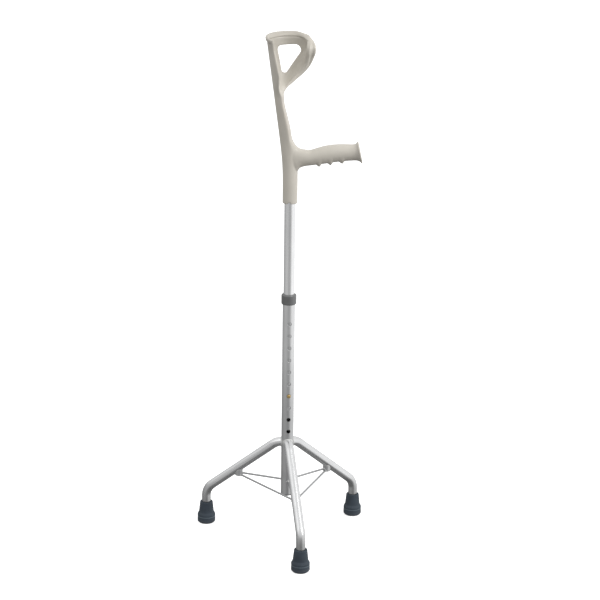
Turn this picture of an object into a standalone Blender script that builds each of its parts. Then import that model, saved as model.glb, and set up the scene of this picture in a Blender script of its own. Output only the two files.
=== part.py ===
"""Tripod forearm cane: a telescopic tube on a three-legged base, with a moulded cuff and grip.

Metres, +Z up, floor at z = 0. The grip points along +X. The footprint's box is centred on the
origin, so the column stands a little off it, at AXIS_X and AXIS_Y. Heights are above the floor,
and every other place is measured from the column's axis.
"""
import math

import bmesh
import bpy
import numpy as np
from mathutils import Matrix, Vector

MM = 0.001
GAP = 0.3 * MM

# Telescopic column
COLUMN_RADIUS = 12.5 * MM
COLUMN_WALL = 1.2 * MM
COLUMN_TOP = 516 * MM
COLUMN_BOTTOM = 93 * MM
SLIDE_CLEARANCE = 0.3 * MM
HOLE_COUNT = 10
HOLE_PITCH = 25.4 * MM
HOLE_RADIUS = 4.0 * MM
TOP_HOLE_Z = 460 * MM
BUTTON_HOLE = 6
UPPER_WALL = 1.2 * MM
UPPER_TAIL = 38 * MM
PLUG_LENGTH = 12 * MM
PLUG_FLANGE = 1.8 * MM

# Collar on the column's top end
COLLAR_RADIUS = 15.2 * MM
COLLAR_HEIGHT = 21 * MM
COLLAR_LIP = 4.2 * MM
COLLAR_ROUND = 1.6 * MM

# Snap button and its spring, inside the upper tube
BUTTON_CLEARANCE = 0.3 * MM
BUTTON_PROUD = 2.9 * MM
BUTTON_DOME = 1.3 * MM
SPRING_THICKNESS = 0.8 * MM
SPRING_WIDTH = 8.6 * MM
SPRING_TAIL = 7 * MM
SPRING_RISE = 34 * MM
SPRING_BEND = 3.4 * MM

# Legs
FRONT_LEG_ANGLE = -80.5
LEG_COUNT = 3
FOOT_REACH = 181 * MM
LEG_RADIUS = 9.5 * MM
LEG_WALL = 1.5 * MM
LEG_JOIN_Z = 204.5 * MM
LEG_ROOT_SLOPE = 12
LEG_SLOPE = 38.8
LEG_UPPER_CORNER = 24 * MM
LEG_UPPER_BEND = 40 * MM
LEG_LOWER_BEND = 34 * MM

# Lugs under the legs, with the struts and tie rods between them. The drops are measured
# straight down from the leg's centre line at the lug
LUG_RADIUS = 8.0 * MM
LUG_REACH = 107 * MM
LUG_DROP = 19.3 * MM
ROD_RADIUS = 2.0 * MM
STRUT_DROP = 13.3 * MM
TIE_DROP = 16.8 * MM

# Rubber ferrules and the washers in them
FERRULE_RADIUS = 18.7 * MM
FERRULE_HEIGHT = 46.5 * MM
FERRULE_TOP_RADIUS = 13.3 * MM
FERRULE_SOLE = 10 * MM
FERRULE_BAND = 18.5 * MM
FERRULE_NECK_RADIUS = 15.6 * MM
FERRULE_NECK = 24 * MM
FERRULE_EASE = 1 * MM
SOLE_CHAMFER = 3.0 * MM
TREAD_DEPTH = 1.2 * MM
WASHER_THICKNESS = 1.5 * MM
WASHER_HOLE = 3.2 * MM

# Moulded handle: sleeve, grip, stem and cuff in one piece
HANDLE_Z = 797 * MM
SLEEVE_RADIUS = 14.75 * MM
SLEEVE_DROP = 90.4 * MM
TUBE_ABOVE_GRIP = 3 * MM
NOTCH_WIDTH = 6 * MM
NOTCH_HEIGHT = 3.2 * MM
NOTCH_ANGLE = -97
CUFF_WALL = 3.6 * MM
CUFF_RIM = 1.2 * MM
CUFF_RIM_WIDTH = 6 * MM
CUFF_EDGE = 2.2 * MM
CUFF_BEND = 1.5 * MM
CUFF_FLARE = 6.2 * MM
CUFF_TOP = 236.5 * MM
CUFF_TILT_FAR = 2.4 * MM
CUFF_TILT_FRONT = 2.0 * MM
STEM_LEAN = 0.1376
STEM_BACK_AT_GRIP = 16.3 * MM
FLANGE_RADIUS = 21.4 * MM
FLANGE_REACH = 134.5 * MM
FLANGE_THICKNESS = 2.6 * MM
FLANGE_TILT = 12
RIB_HEIGHT = 4.6 * MM
RIB_WIDTH = 10 * MM
RIB_PITCH = 22.2 * MM
FIRST_RIB = 55.5 * MM

# The unit of the handle's tables and formulas
UNIT = 1 * MM

# Stations up the stem and cuff, as heights above the grip's axis: half width, half depth,
# where the section's near left and right ends lie in degrees, how far it is hollowed out, and
# the width of the flange along its right edge
CUFF_STATIONS = (
    (124, 9.6, 15.2, 250, 22, 0.00, 0),
    (130, 10.4, 16.4, 248, 30, 0.05, 1),
    (136, 12.7, 19.0, 246, 38, 0.20, 3),
    (143, 16.8, 23.0, 243, 42, 0.45, 5),
    (148, 23.0, 27.0, 240, 42, 0.72, 6),
    (155, 29.4, 31.5, 237, 43, 0.90, 7),
    (163, 35.5, 35.5, 233, 43, 1.00, 8),
    (178, 42.0, 40.5, 226, 36, 1.00, 9.5),
    (195, 45.0, 44.0, 220, 20, 1.00, 10.5),
    (210, 46.8, 45.8, 218, 5, 1.00, 11),
    (218, 47.4, 46.3, 217, 3, 1.00, 11),
    (224, 47.8, 46.6, 214, 9, 1.00, 10.5),
    (230, 48.1, 46.8, 208, 22, 1.00, 9.5),
    (236.5, 48.4, 47.0, 195, 48, 1.00, 8),
)
# Stations up the sleeve and stem: height above the grip's axis and where the front face lies
FRONT_STATIONS = (
    (-20, 14.75),
    (20, 12.0),
    (39, 3.2),
    (58, -0.1),
    (75, -4.2),
    (91, -8.4),
    (108, -12.5),
    (124, -14.0),
)
# Stations along the grip: reach from the column, top and bottom against the grip's axis, half width
GRIP_STATIONS = (
    (-6, 44, -38, 13.0),
    (1, 42, -34, 13.6),
    (8, 29, -31, 14.0),
    (12, 24.4, -29, 14.2),
    (15, 21.6, -24.8, 14.3),
    (18, 19.8, -20.6, 14.5),
    (22, 18.4, -18.0, 14.7),
    (28, 17.4, -16.0, 14.9),
    (40, 17.0, -14.2, 15.4),
    (48, 19.5, -13.0, 15.8),
    (66, 24.9, -10.6, 16.2),
    (88, 28.2, -6.9, 16.2),
    (108, 28.9, -4.4, 15.8),
    (120, 28.6, -3.4, 15.6),
)
GRIP_NECK = 124 * MM
GRIP_NECK_RADIUS = 16.0 * MM
GRIP_END_RISE = 12.8 * MM

# The cuff's window, as corners seen from the side (reach, height above the grip's axis) and their radii
WINDOW_CORNERS = (
    (-28.5, 215.0, 7),
    (15.5, 217.0, 11),
    (18.5, 204.0, 9),
    (-11.0, 162.0, 5),
    (-18.5, 164.5, 5),
)

TUBE_SIDES = 32
LEG_SIDES = 16
ROD_SIDES = 12
FERRULE_SIDES = 24
SECTION_POINTS = 26
STEM_GROOVE = 0.14
GRIP_SIDES = 24


def upper_radius():
    """Outer radius of the upper tube, which slides in the column."""
    return COLUMN_RADIUS - COLUMN_WALL - SLIDE_CLEARANCE


def button_z():
    """Height of the hole that the button stands in."""
    return TOP_HOLE_Z - BUTTON_HOLE * HOLE_PITCH


def leg_angles():
    """Directions of the legs in radians: front, right and left."""
    return [math.radians(FRONT_LEG_ANGLE + 360 / LEG_COUNT * k) for k in range(LEG_COUNT)]


def foot_points():
    """Centres of the feet from the column's axis."""
    return [(FOOT_REACH * math.cos(a), FOOT_REACH * math.sin(a)) for a in leg_angles()]


def column_place():
    """Where the column's axis stands so that the footprint's box is centred on the origin."""
    xs = [x for x, _ in foot_points()]
    ys = [y for _, y in foot_points()]
    grip_end = FLANGE_REACH + FLANGE_RADIUS * math.sin(math.radians(FLANGE_TILT)) + FLANGE_THICKNESS
    low_x = min(xs) - FERRULE_RADIUS
    high_x = max(max(xs) + FERRULE_RADIUS, grip_end)
    low_y = min(ys) - FERRULE_RADIUS
    high_y = max(ys) + FERRULE_RADIUS
    return -(low_x + high_x) / 2, -(low_y + high_y) / 2


AXIS_X, AXIS_Y = column_place()


def empty(name, parent=None, location=(0, 0, 0)):
    """A named empty that pieces hang on."""
    obj = bpy.data.objects.new(name, None)
    bpy.context.scene.collection.objects.link(obj)
    obj.empty_display_size = 0.05
    obj.location = location
    obj.parent = parent
    return obj


def material(name, colour, roughness, metallic=0.0):
    """A Principled material for one piece."""
    mat = bpy.data.materials.new(name)
    mat.use_nodes = True
    shader = mat.node_tree.nodes["Principled BSDF"]
    shader.inputs["Base Color"].default_value = (*colour, 1)
    shader.inputs["Roughness"].default_value = roughness
    shader.inputs["Metallic"].default_value = metallic
    mat.diffuse_color = (*colour, 1)
    return mat


def aluminium(name):
    """Satin anodised tube."""
    return material(name, (0.66, 0.67, 0.68), 0.32, 1.0)


def moulding_plastic(name):
    """Warm grey moulded plastic."""
    return material(name, (0.47, 0.44, 0.39), 0.45)


def dark_plastic(name):
    """Charcoal plastic."""
    return material(name, (0.07, 0.07, 0.07), 0.4)


def rubber(name):
    """Slate rubber."""
    return material(name, (0.035, 0.05, 0.06), 0.75)


def steel(name):
    """Bright spring steel."""
    return material(name, (0.6, 0.6, 0.6), 0.3, 1.0)


def brass(name):
    """Polished brass."""
    return material(name, (0.78, 0.56, 0.25), 0.25, 1.0)


def mesh_object(name, verts, faces, parent, mat=None, sharp=35):
    """An object from points and faces, turned to face outwards and shaded smooth."""
    mesh = bpy.data.meshes.new(name)
    mesh.from_pydata([tuple(v) for v in verts], [], faces)
    bm = bmesh.new()
    bm.from_mesh(mesh)
    bmesh.ops.recalc_face_normals(bm, faces=bm.faces[:])
    bm.to_mesh(mesh)
    bm.free()
    mesh.shade_smooth()
    mesh.set_sharp_from_angle(angle=math.radians(sharp))
    obj = bpy.data.objects.new(name, mesh)
    bpy.context.scene.collection.objects.link(obj)
    obj.parent = parent
    if mat:
        mesh.materials.append(mat)
    return obj


def ring_faces(rings, count, first=0, close=False):
    """Quads between neighbouring rings of points, and from the last back to the first if closed."""
    faces = []
    for r in range(rings if close else rings - 1):
        low = first + r * count
        high = first + (r + 1) % rings * count
        for i in range(count):
            j = (i + 1) % count
            faces.append((low + i, low + j, high + j, high + i))
    return faces


def turned(name, profile, parent, mat=None, sides=TUBE_SIDES, turn=None):
    """A piece turned about its axis from (radius, height) points; a profile off the axis closes on itself."""
    solid = profile[0][0] == 0 and profile[-1][0] == 0
    rim = [p for p in profile if p[0] > 0]
    angles = [2 * math.pi * k / sides for k in range(sides)]
    verts = [(r * math.cos(a), r * math.sin(a), z) for r, z in rim for a in angles]
    faces = ring_faces(len(rim), sides, close=not solid)
    if solid:
        faces.append(tuple(range(sides)))
        faces.append(tuple(range((len(rim) - 1) * sides, len(rim) * sides)))
    obj = mesh_object(name, verts, faces, parent, mat)
    if turn is not None:
        obj.matrix_local = turn
    return obj


def rounded_path(corners, radii, steps=6):
    """Points through corners, each inner corner rounded by an arc of its radius."""
    pts = [np.array(c, float) for c in corners]
    path = [pts[0]]
    for k in range(1, len(pts) - 1):
        back = pts[k - 1] - pts[k]
        ahead = pts[k + 1] - pts[k]
        back /= np.linalg.norm(back)
        ahead /= np.linalg.norm(ahead)
        half = math.acos(float(back @ ahead)) / 2
        setback = radii[k - 1] / math.tan(half)
        centre = pts[k] + (back + ahead) / np.linalg.norm(back + ahead) * radii[k - 1] / math.sin(half)
        start = pts[k] + back * setback - centre
        end = pts[k] + ahead * setback - centre
        swing = math.pi - 2 * half
        for i in range(steps + 1):
            turned_by = swing * i / steps
            spoke = start * math.sin(swing - turned_by) + end * math.sin(turned_by)
            path.append(centre + spoke / math.sin(swing))
    path.append(pts[-1])
    return path


def swept(name, path, section, across, parent, mat=None, hollow=None, sharp=35):
    """A section of (across, out) points carried along a flat path, with a second section inside if hollow."""
    path = np.array(path, float)
    across = np.array(across, float)
    steps = np.diff(path, axis=0)
    steps /= np.linalg.norm(steps, axis=1)[:, None]
    tangents = np.vstack([steps[:1], steps[:-1] + steps[1:], steps[-1:]])
    tangents /= np.linalg.norm(tangents, axis=1)[:, None]
    out = np.cross(tangents, across)
    layers = []
    for shape in [section] + ([hollow] if hollow else []):
        shape = np.array(shape, float)
        layers.append(path[:, None] + shape[None, :, :1] * across + shape[None, :, 1:] * out[:, None])
    count = len(section)
    rings = len(path)
    verts = np.concatenate([layer.reshape(-1, 3) for layer in layers])
    faces = ring_faces(rings, count)
    if hollow:
        inner = rings * count
        faces += [tuple(reversed(f)) for f in ring_faces(rings, count, inner)]
        for end in (0, (rings - 1) * count):
            for i in range(count):
                j = (i + 1) % count
                faces.append((end + i, end + j, inner + end + j, inner + end + i))
    else:
        faces.append(tuple(range(count)))
        faces.append(tuple(range((rings - 1) * count, rings * count)))
    return mesh_object(name, verts, faces, parent, mat, sharp)


def circle(radius, sides):
    """Points of a round section."""
    angles = [2 * math.pi * k / sides for k in range(sides)]
    return [(radius * math.cos(a), radius * math.sin(a)) for a in angles]


def combine(obj, tool, operation="DIFFERENCE"):
    """A Boolean with another object, which is a cutter or a form and not a piece of its own."""
    tool.hide_render = True
    tool.display_type = "WIRE"
    mod = obj.modifiers.new(tool.name, "BOOLEAN")
    mod.operation = operation
    mod.solver = "EXACT"
    mod.object = tool


def radial(angle, r, z, side=0.0):
    """A point at a distance from the axis in a direction, with a shift to its left."""
    x = r * math.cos(angle) - side * math.sin(angle)
    y = r * math.sin(angle) + side * math.cos(angle)
    return Vector((x, y, z))


def drill(name, angle, z, radius, start, end, parent):
    """A round cutter lying along a direction from the axis."""
    lie = Matrix.Rotation(angle, 4, "Z") @ Matrix.Rotation(math.pi / 2, 4, "Y")
    lie = Matrix.Translation((0, 0, z)) @ lie
    profile = [(0, start), (radius, start), (radius, end), (0, end)]
    return turned(name, profile, parent, sides=16, turn=lie)


def tube(name, radius, wall, bottom, top, parent, mat):
    """An upright tube with open ends."""
    inner = radius - wall
    return turned(name, [(radius, bottom), (radius, top), (inner, top), (inner, bottom)], parent, mat)


def column_tube(parent):
    """The lower tube, with a row of button holes that face the front leg."""
    metal = aluminium("column_metal")
    obj = tube("column_tube", COLUMN_RADIUS, COLUMN_WALL, COLUMN_BOTTOM, COLUMN_TOP, parent, metal)
    facing = leg_angles()[0]
    reach = (COLUMN_RADIUS / 2, COLUMN_RADIUS * 2)
    for k in range(HOLE_COUNT):
        z = TOP_HOLE_Z - k * HOLE_PITCH
        combine(obj, drill(f"hole_cutter_{k + 1}", facing, z, HOLE_RADIUS, *reach, parent))
    return obj


def column_plug(parent):
    """The cap that closes the column's lower end: a flange under the tube and a plug in it."""
    plug = COLUMN_RADIUS - COLUMN_WALL - GAP
    face = COLUMN_BOTTOM - GAP
    profile = [
        (0, face - PLUG_FLANGE),
        (COLUMN_RADIUS - PLUG_FLANGE / 2, face - PLUG_FLANGE),
        (COLUMN_RADIUS, face - PLUG_FLANGE / 2),
        (COLUMN_RADIUS, face),
        (plug, face),
        (plug, face + PLUG_LENGTH - plug / 10),
        (plug - plug / 10, face + PLUG_LENGTH),
        (0, face + PLUG_LENGTH),
    ]
    return turned("column_plug", profile, parent, dark_plastic("plug_plastic"))


def collar(parent):
    """The plastic guide pushed over the column's top end, with a lip round the upper tube."""
    top = COLUMN_TOP + GAP + COLLAR_LIP
    bottom = top - COLLAR_HEIGHT
    grip_bore = COLUMN_RADIUS + GAP
    guide_bore = upper_radius() + SLIDE_CLEARANCE
    profile = [(COLLAR_RADIUS - COLLAR_ROUND, bottom)]
    for a in (math.pi / 4, math.pi / 2):
        cut = COLLAR_ROUND * (1 - math.sin(a))
        profile.append((COLLAR_RADIUS - cut, bottom + COLLAR_ROUND * (1 - math.cos(a))))
    for a in (0, math.pi / 4, math.pi / 2):
        cut = COLLAR_ROUND * (1 - math.cos(a))
        profile.append((COLLAR_RADIUS - cut, top - COLLAR_ROUND * (1 - math.sin(a))))
    profile += [(guide_bore, top), (guide_bore, COLUMN_TOP + GAP)]
    profile += [(grip_bore, COLUMN_TOP + GAP), (grip_bore, bottom)]
    return turned("collar", profile, parent, dark_plastic("collar_plastic"))


def leg_corners(angle):
    """Corners of a leg's centre line: on the column's axis, the upper bend, the lower bend and the foot."""
    upper_z = LEG_JOIN_Z - (LEG_UPPER_CORNER - COLUMN_RADIUS) * math.tan(math.radians(LEG_ROOT_SLOPE))
    root_z = upper_z + LEG_UPPER_CORNER * math.tan(math.radians(LEG_ROOT_SLOPE))
    lower_z = upper_z - (FOOT_REACH - LEG_UPPER_CORNER) * math.tan(math.radians(LEG_SLOPE))
    foot_z = FERRULE_SOLE + GAP + WASHER_THICKNESS + GAP
    return [
        radial(angle, 0, root_z),
        radial(angle, LEG_UPPER_CORNER, upper_z),
        radial(angle, FOOT_REACH, lower_z),
        radial(angle, FOOT_REACH, foot_z),
    ]


def leg(name, angle, parent):
    """A bent tube from the column to a foot, its top end cut to the column's round."""
    path = rounded_path(leg_corners(angle), (LEG_UPPER_BEND, LEG_LOWER_BEND), 4)
    across = radial(angle, 0, 0, 1)
    outer = circle(LEG_RADIUS, LEG_SIDES)
    inner = circle(LEG_RADIUS - LEG_WALL, LEG_SIDES)
    obj = swept(name, path, outer, across, parent, aluminium(name + "_metal"), inner)
    reach = LEG_RADIUS * 4
    profile = [
        (0, LEG_JOIN_Z - reach),
        (COLUMN_RADIUS + GAP, LEG_JOIN_Z - reach),
        (COLUMN_RADIUS + GAP, LEG_JOIN_Z + reach),
        (0, LEG_JOIN_Z + reach),
    ]
    combine(obj, turned(name + "_cope", profile, parent, sides=64))
    return obj


def on_leg(angle):
    """The point of a leg's centre line over its lug."""
    high = leg_corners(angle)[1]
    low = leg_corners(angle)[2]
    return high.lerp(low, (LUG_REACH - LEG_UPPER_CORNER) / (FOOT_REACH - LEG_UPPER_CORNER))


def lug(name, angle, parent):
    """The short boss under a leg that the rods end on, cut to the leg's round."""
    top = on_leg(angle)
    place = Matrix.Translation(radial(angle, LUG_REACH, 0))
    profile = [(0, top.z - LUG_DROP), (LUG_RADIUS, top.z - LUG_DROP), (LUG_RADIUS, top.z), (0, top.z)]
    obj = turned(name, profile, parent, aluminium(name + "_metal"), 24, place)
    along = (leg_corners(angle)[2] - leg_corners(angle)[1]).normalized() * LEG_RADIUS * 4
    section = circle(LEG_RADIUS + GAP, LEG_SIDES)
    across = radial(angle, 0, 0, 1)
    combine(obj, swept(name + "_saddle", [top - along, top + along], section, across, parent))
    return obj


def rod(name, start, end, parent):
    """A straight round bar."""
    across = (end - start).cross(Vector((0, 0, 1))).normalized()
    section = circle(ROD_RADIUS, ROD_SIDES)
    return swept(name, [start, end], section, across, parent, aluminium(name + "_metal"))


def strut(name, angle, parent):
    """The level bar from the column to a leg's lug."""
    height = on_leg(angle).z - STRUT_DROP
    start = radial(angle, COLUMN_RADIUS + GAP, height)
    end = radial(angle, LUG_REACH - LUG_RADIUS - GAP, height)
    return rod(name, start, end, parent)


def tie_rod(name, angle, other, parent):
    """The level bar from one lug to the next."""
    height = on_leg(angle).z - TIE_DROP
    start = radial(angle, LUG_REACH, height)
    end = radial(other, LUG_REACH, height)
    back = (end - start).normalized() * (LUG_RADIUS + GAP)
    return rod(name, start + back, end - back, parent)


def ferrule(name, place, parent):
    """A rubber foot: a neck round the leg, a flared shoulder, a deep band and a ringed sole."""
    bore = LEG_RADIUS + GAP
    tread = FERRULE_RADIUS - SOLE_CHAMFER
    profile = [(0, 0)]
    for inner in (tread / 5, tread * 3 / 5):
        outer = inner + tread / 5
        profile += [(inner, 0), (inner, TREAD_DEPTH), (outer, TREAD_DEPTH), (outer, 0)]
    profile += [
        (tread, 0),
        (FERRULE_RADIUS, SOLE_CHAMFER),
        (FERRULE_RADIUS, FERRULE_BAND - FERRULE_EASE),
        (FERRULE_RADIUS - FERRULE_EASE * 0.6, FERRULE_BAND),
        (FERRULE_NECK_RADIUS + FERRULE_EASE * 0.5, FERRULE_NECK - FERRULE_EASE),
        (FERRULE_NECK_RADIUS - FERRULE_EASE * 0.3, FERRULE_NECK + FERRULE_EASE * 1.5),
        (FERRULE_TOP_RADIUS, FERRULE_HEIGHT - FERRULE_EASE * 1.5),
        (FERRULE_TOP_RADIUS - FERRULE_EASE, FERRULE_HEIGHT),
        (bore, FERRULE_HEIGHT),
        (bore, FERRULE_SOLE),
        (0, FERRULE_SOLE),
    ]
    return turned(name, profile, parent, rubber(name + "_rubber"), FERRULE_SIDES, Matrix.Translation(place))


def washer(name, place, parent):
    """The steel washer that keeps a leg's end from cutting through the rubber."""
    low = FERRULE_SOLE + GAP
    edge = LEG_RADIUS - GAP
    high = low + WASHER_THICKNESS
    profile = [(edge, low), (edge, high), (WASHER_HOLE, high), (WASHER_HOLE, low)]
    return turned(name, profile, parent, steel(name + "_steel"), 24, Matrix.Translation(place))


def upper_tube(parent):
    """The tube that carries the handle, with one hole for the button."""
    bottom = button_z() - UPPER_TAIL
    top = HANDLE_Z + TUBE_ABOVE_GRIP
    obj = tube("upper_tube", upper_radius(), UPPER_WALL, bottom, top, parent, aluminium("upper_metal"))
    facing = leg_angles()[0]
    reach = (upper_radius() / 2, COLUMN_RADIUS * 2)
    combine(obj, drill("button_hole_cutter", facing, button_z(), HOLE_RADIUS, *reach, parent))
    return obj


def spring_face():
    """How far from the axis the spring's arm lies flat against the upper tube's round."""
    inner = upper_radius() - UPPER_WALL
    return math.sqrt(inner**2 - (SPRING_WIDTH / 2) ** 2) - GAP


def button_spring(parent):
    """The V-shaped leaf spring that pushes the button out: two arms hanging from a round bend."""
    facing = leg_angles()[0]
    arm = spring_face() - SPRING_THICKNESS / 2
    z = button_z()
    path = [(arm, z - SPRING_TAIL), (arm, z + SPRING_TAIL)]
    for k in range(9):
        a = math.pi * k / 8
        path.append((SPRING_BEND * math.cos(a), z + SPRING_RISE + SPRING_BEND * math.sin(a)))
    path += [(-arm, z + SPRING_TAIL), (-arm, z - SPRING_TAIL)]
    points = [radial(facing, r, height) for r, height in path]
    half = SPRING_WIDTH / 2
    leaf = SPRING_THICKNESS / 2
    section = [(-half, -leaf), (half, -leaf), (half, leaf), (-half, leaf)]
    across = radial(facing, 0, 0, 1)
    return swept("button_spring", points, section, across, parent, steel("spring_steel"))


def snap_button(parent):
    """The domed brass button that locks the two tubes together."""
    radius = HOLE_RADIUS - BUTTON_CLEARANCE
    tip = COLUMN_RADIUS + BUTTON_PROUD
    foot = spring_face() + GAP
    profile = [(0, foot), (radius, foot), (radius, tip - BUTTON_DOME)]
    for k in (1, 2, 3):
        a = math.pi / 2 * k / 4
        profile.append((radius * math.cos(a), tip - BUTTON_DOME * (1 - math.sin(a))))
    profile.append((0, tip))
    lie = Matrix.Rotation(leg_angles()[0], 4, "Z") @ Matrix.Rotation(math.pi / 2, 4, "Y")
    return turned("snap_button", profile, parent, brass("button_brass"), 24, lie)


def smooth_curve(x, stations, column):
    """A smooth curve through one column of a station table, flat past its ends."""
    xs = np.array([s[0] for s in stations], float)
    ys = np.array([s[column] for s in stations], float)
    slopes = np.gradient(ys, xs)
    x = np.clip(np.asarray(x, float), xs[0], xs[-1])
    k = np.clip(np.searchsorted(xs, x) - 1, 0, len(xs) - 2)
    h = xs[k + 1] - xs[k]
    t = (x - xs[k]) / h
    rise = ys[k] * (1 + 2 * t) * (1 - t) ** 2 + ys[k + 1] * t**2 * (3 - 2 * t)
    return rise + h * t * (1 - t) * (slopes[k] * (1 - t) - slopes[k + 1] * t)


def ease(x, low, high):
    """A smooth step from 0 at low to 1 at high."""
    t = np.clip((np.asarray(x, float) - low) / (high - low), 0, 1)
    return t * t * (3 - 2 * t)


def back_line(up):
    """Where the back of the moulding lies, at heights in millimetres above the grip's axis."""
    lean = STEM_BACK_AT_GRIP / UNIT + STEM_LEAN * up
    straight = SLEEVE_RADIUS / UNIT
    soft = 2.0
    return -(soft * np.logaddexp(lean / soft, straight / soft))


def edge_round(distance, width):
    """How full a wall is near its edge: a quarter ellipse from thin at the edge to full one width in."""
    t = np.clip(distance / width, 0, 1)
    return np.sqrt(np.clip(1 - (1 - t) ** 2, 0.06, 1))


def section_steps(length):
    """Shares of the way round a section of a given length, close together near its ends and its flange."""
    left = [0, 0.9, 2.4, 5]
    right = [18, 14, 11.6, 9.6, 7.4, 4.8, 2.4, 0.9, 0]
    middle = np.linspace(left[-1], length - right[0], SECTION_POINTS - len(left) - len(right) + 2)[1:-1]
    return np.concatenate([left, middle, length - np.array(right)]) / length


def stem_section(up, steps):
    """A rounded solid section of the sleeve or stem, from its near left by the back to its near side."""
    back = back_line(up)
    front = smooth_curve(up, FRONT_STATIONS, 1)
    depth = SLEEVE_RADIUS / UNIT
    if up > CUFF_STATIONS[0][0]:
        front = back + 2 * smooth_curve(up, CUFF_STATIONS, 1)
        depth = smooth_curve(up, CUFF_STATIONS, 2)
    first = math.radians(CUFF_STATIONS[0][3])
    last = math.radians(CUFF_STATIONS[0][4])
    rest = 2 * math.pi - (first - last)
    gap = rest / (SECTION_POINTS + 1)
    outer = first + steps * (last - first)
    inner = last - gap - (1 - steps[::-1]) * (rest - 2 * gap)
    angles = np.concatenate([outer, inner])
    square = 1 - 0.22 * ease(up, 5, 60)
    cos = np.sign(np.cos(angles)) * np.abs(np.cos(angles)) ** square
    sin = np.sign(np.sin(angles)) * np.abs(np.sin(angles)) ** square
    groove = STEM_GROOVE * ease(up, 24, 60) * (1 - ease(up, 112, 140))
    sin *= 1 - groove * np.exp(-((cos / 0.34) ** 2))
    return np.stack([(back + front) / 2 + (front - back) / 2 * cos, depth * sin], axis=1)


def cuff_section(up, top, steps, length):
    """A C-shaped section of the cuff, open to the near side, its right end turned out as a flange."""
    half = smooth_curve(up, CUFF_STATIONS, 1)
    depth = smooth_curve(up, CUFF_STATIONS, 2)
    first = math.radians(float(smooth_curve(up, CUFF_STATIONS, 3)))
    last = math.radians(float(smooth_curve(up, CUFF_STATIONS, 4)))
    flange = float(smooth_curve(up, CUFF_STATIONS, 6))
    wall = CUFF_WALL / UNIT
    bend = CUFF_BEND / UNIT
    from_right = (1 - steps) * length
    behind = bend * np.logaddexp(0, (from_right - flange) / bend)
    out = bend * np.logaddexp(0, (flange - from_right) / bend)
    angles = last + (first - last) * behind / behind[0]
    drawn_in = (flange + wall / 2) * (1 - ease(behind, 0, 36))
    flare = bend * np.logaddexp(0, (CUFF_FLARE / UNIT - (top - up)) / bend)
    flare = flare * (1 - ease(np.degrees(angles), 120, 200))
    reach = ((out * (1 + wall / 2 / max(flange, 1))) ** 4 + flare**4) ** 0.25
    shift = reach - drawn_in - wall / 2 * ease(behind, 0, 36)
    x = back_line(up) + half + (half + shift) * np.cos(angles)
    y = (depth + shift) * np.sin(angles)
    line = np.stack([x, y], axis=1)
    along = np.gradient(line, from_right, axis=0)
    along /= np.linalg.norm(along, axis=1)[:, None]
    normal = np.stack([along[:, 1], -along[:, 0]], axis=1)
    near_edge = np.minimum(np.minimum(steps * length, from_right), top - up)
    bead = CUFF_RIM / UNIT * (1 - ease(near_edge, CUFF_RIM_WIDTH / UNIT * 0.4, CUFF_RIM_WIDTH / UNIT))
    thick = (wall + bead) * edge_round(near_edge, CUFF_EDGE / UNIT) / 2
    return np.concatenate([line + normal * thick[:, None], (line - normal * thick[:, None])[::-1]])


def handle_ring(up, top):
    """One level ring of points round the moulding, in metres from the column's axis."""
    hollow = float(smooth_curve(up, CUFF_STATIONS, 5))
    sweep = math.radians(float(smooth_curve(up, CUFF_STATIONS, 3) - smooth_curve(up, CUFF_STATIONS, 4)))
    length = float(smooth_curve(up, CUFF_STATIONS, 1) * sweep + smooth_curve(up, CUFF_STATIONS, 6))
    steps = section_steps(length)
    flat = stem_section(up, steps)
    if hollow > 0:
        flat = flat * (1 - hollow) + cuff_section(up, top, steps, length) * hollow
    far = CUFF_TILT_FAR / UNIT * flat[:, 1] / CUFF_STATIONS[-1][2]
    front = CUFF_TILT_FRONT / UNIT * flat[:, 0] / CUFF_STATIONS[-1][1]
    rise = (far + front) * ease(up, CUFF_STATIONS[4][0], top)
    x, y = flat[:, 0], flat[:, 1]
    return np.stack([x * UNIT, y * UNIT, HANDLE_Z + (up + rise) * UNIT], axis=1)


def moulding_body(parent):
    """The sleeve, stem and cuff as one loft of level rings."""
    low = -SLEEVE_DROP / UNIT
    top = CUFF_TOP / UNIT
    start = CUFF_STATIONS[0][0]
    heights = [low, low + 5, -30, 0, 20, 32, 45, 62, 80, 100]
    heights += list(np.linspace(start, top - 22, 12))
    heights += [top - k for k in (18, 14.4, 11.4, 9, 7.4, 6.2, 4.8, 3.3, 1.8, 0.7, 0)]
    rings = [handle_ring(float(h), top) for h in heights]
    count = len(rings[0])
    verts = np.concatenate(rings)
    faces = ring_faces(len(rings), count)
    half = count // 2
    for end in (0, (len(rings) - 1) * count):
        for i in range(half - 1):
            faces.append((end + i, end + i + 1, end + count - 2 - i, end + count - 1 - i))
    return mesh_object("handle_moulding", verts, faces, parent, moulding_plastic("handle_plastic"), 40)


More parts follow.
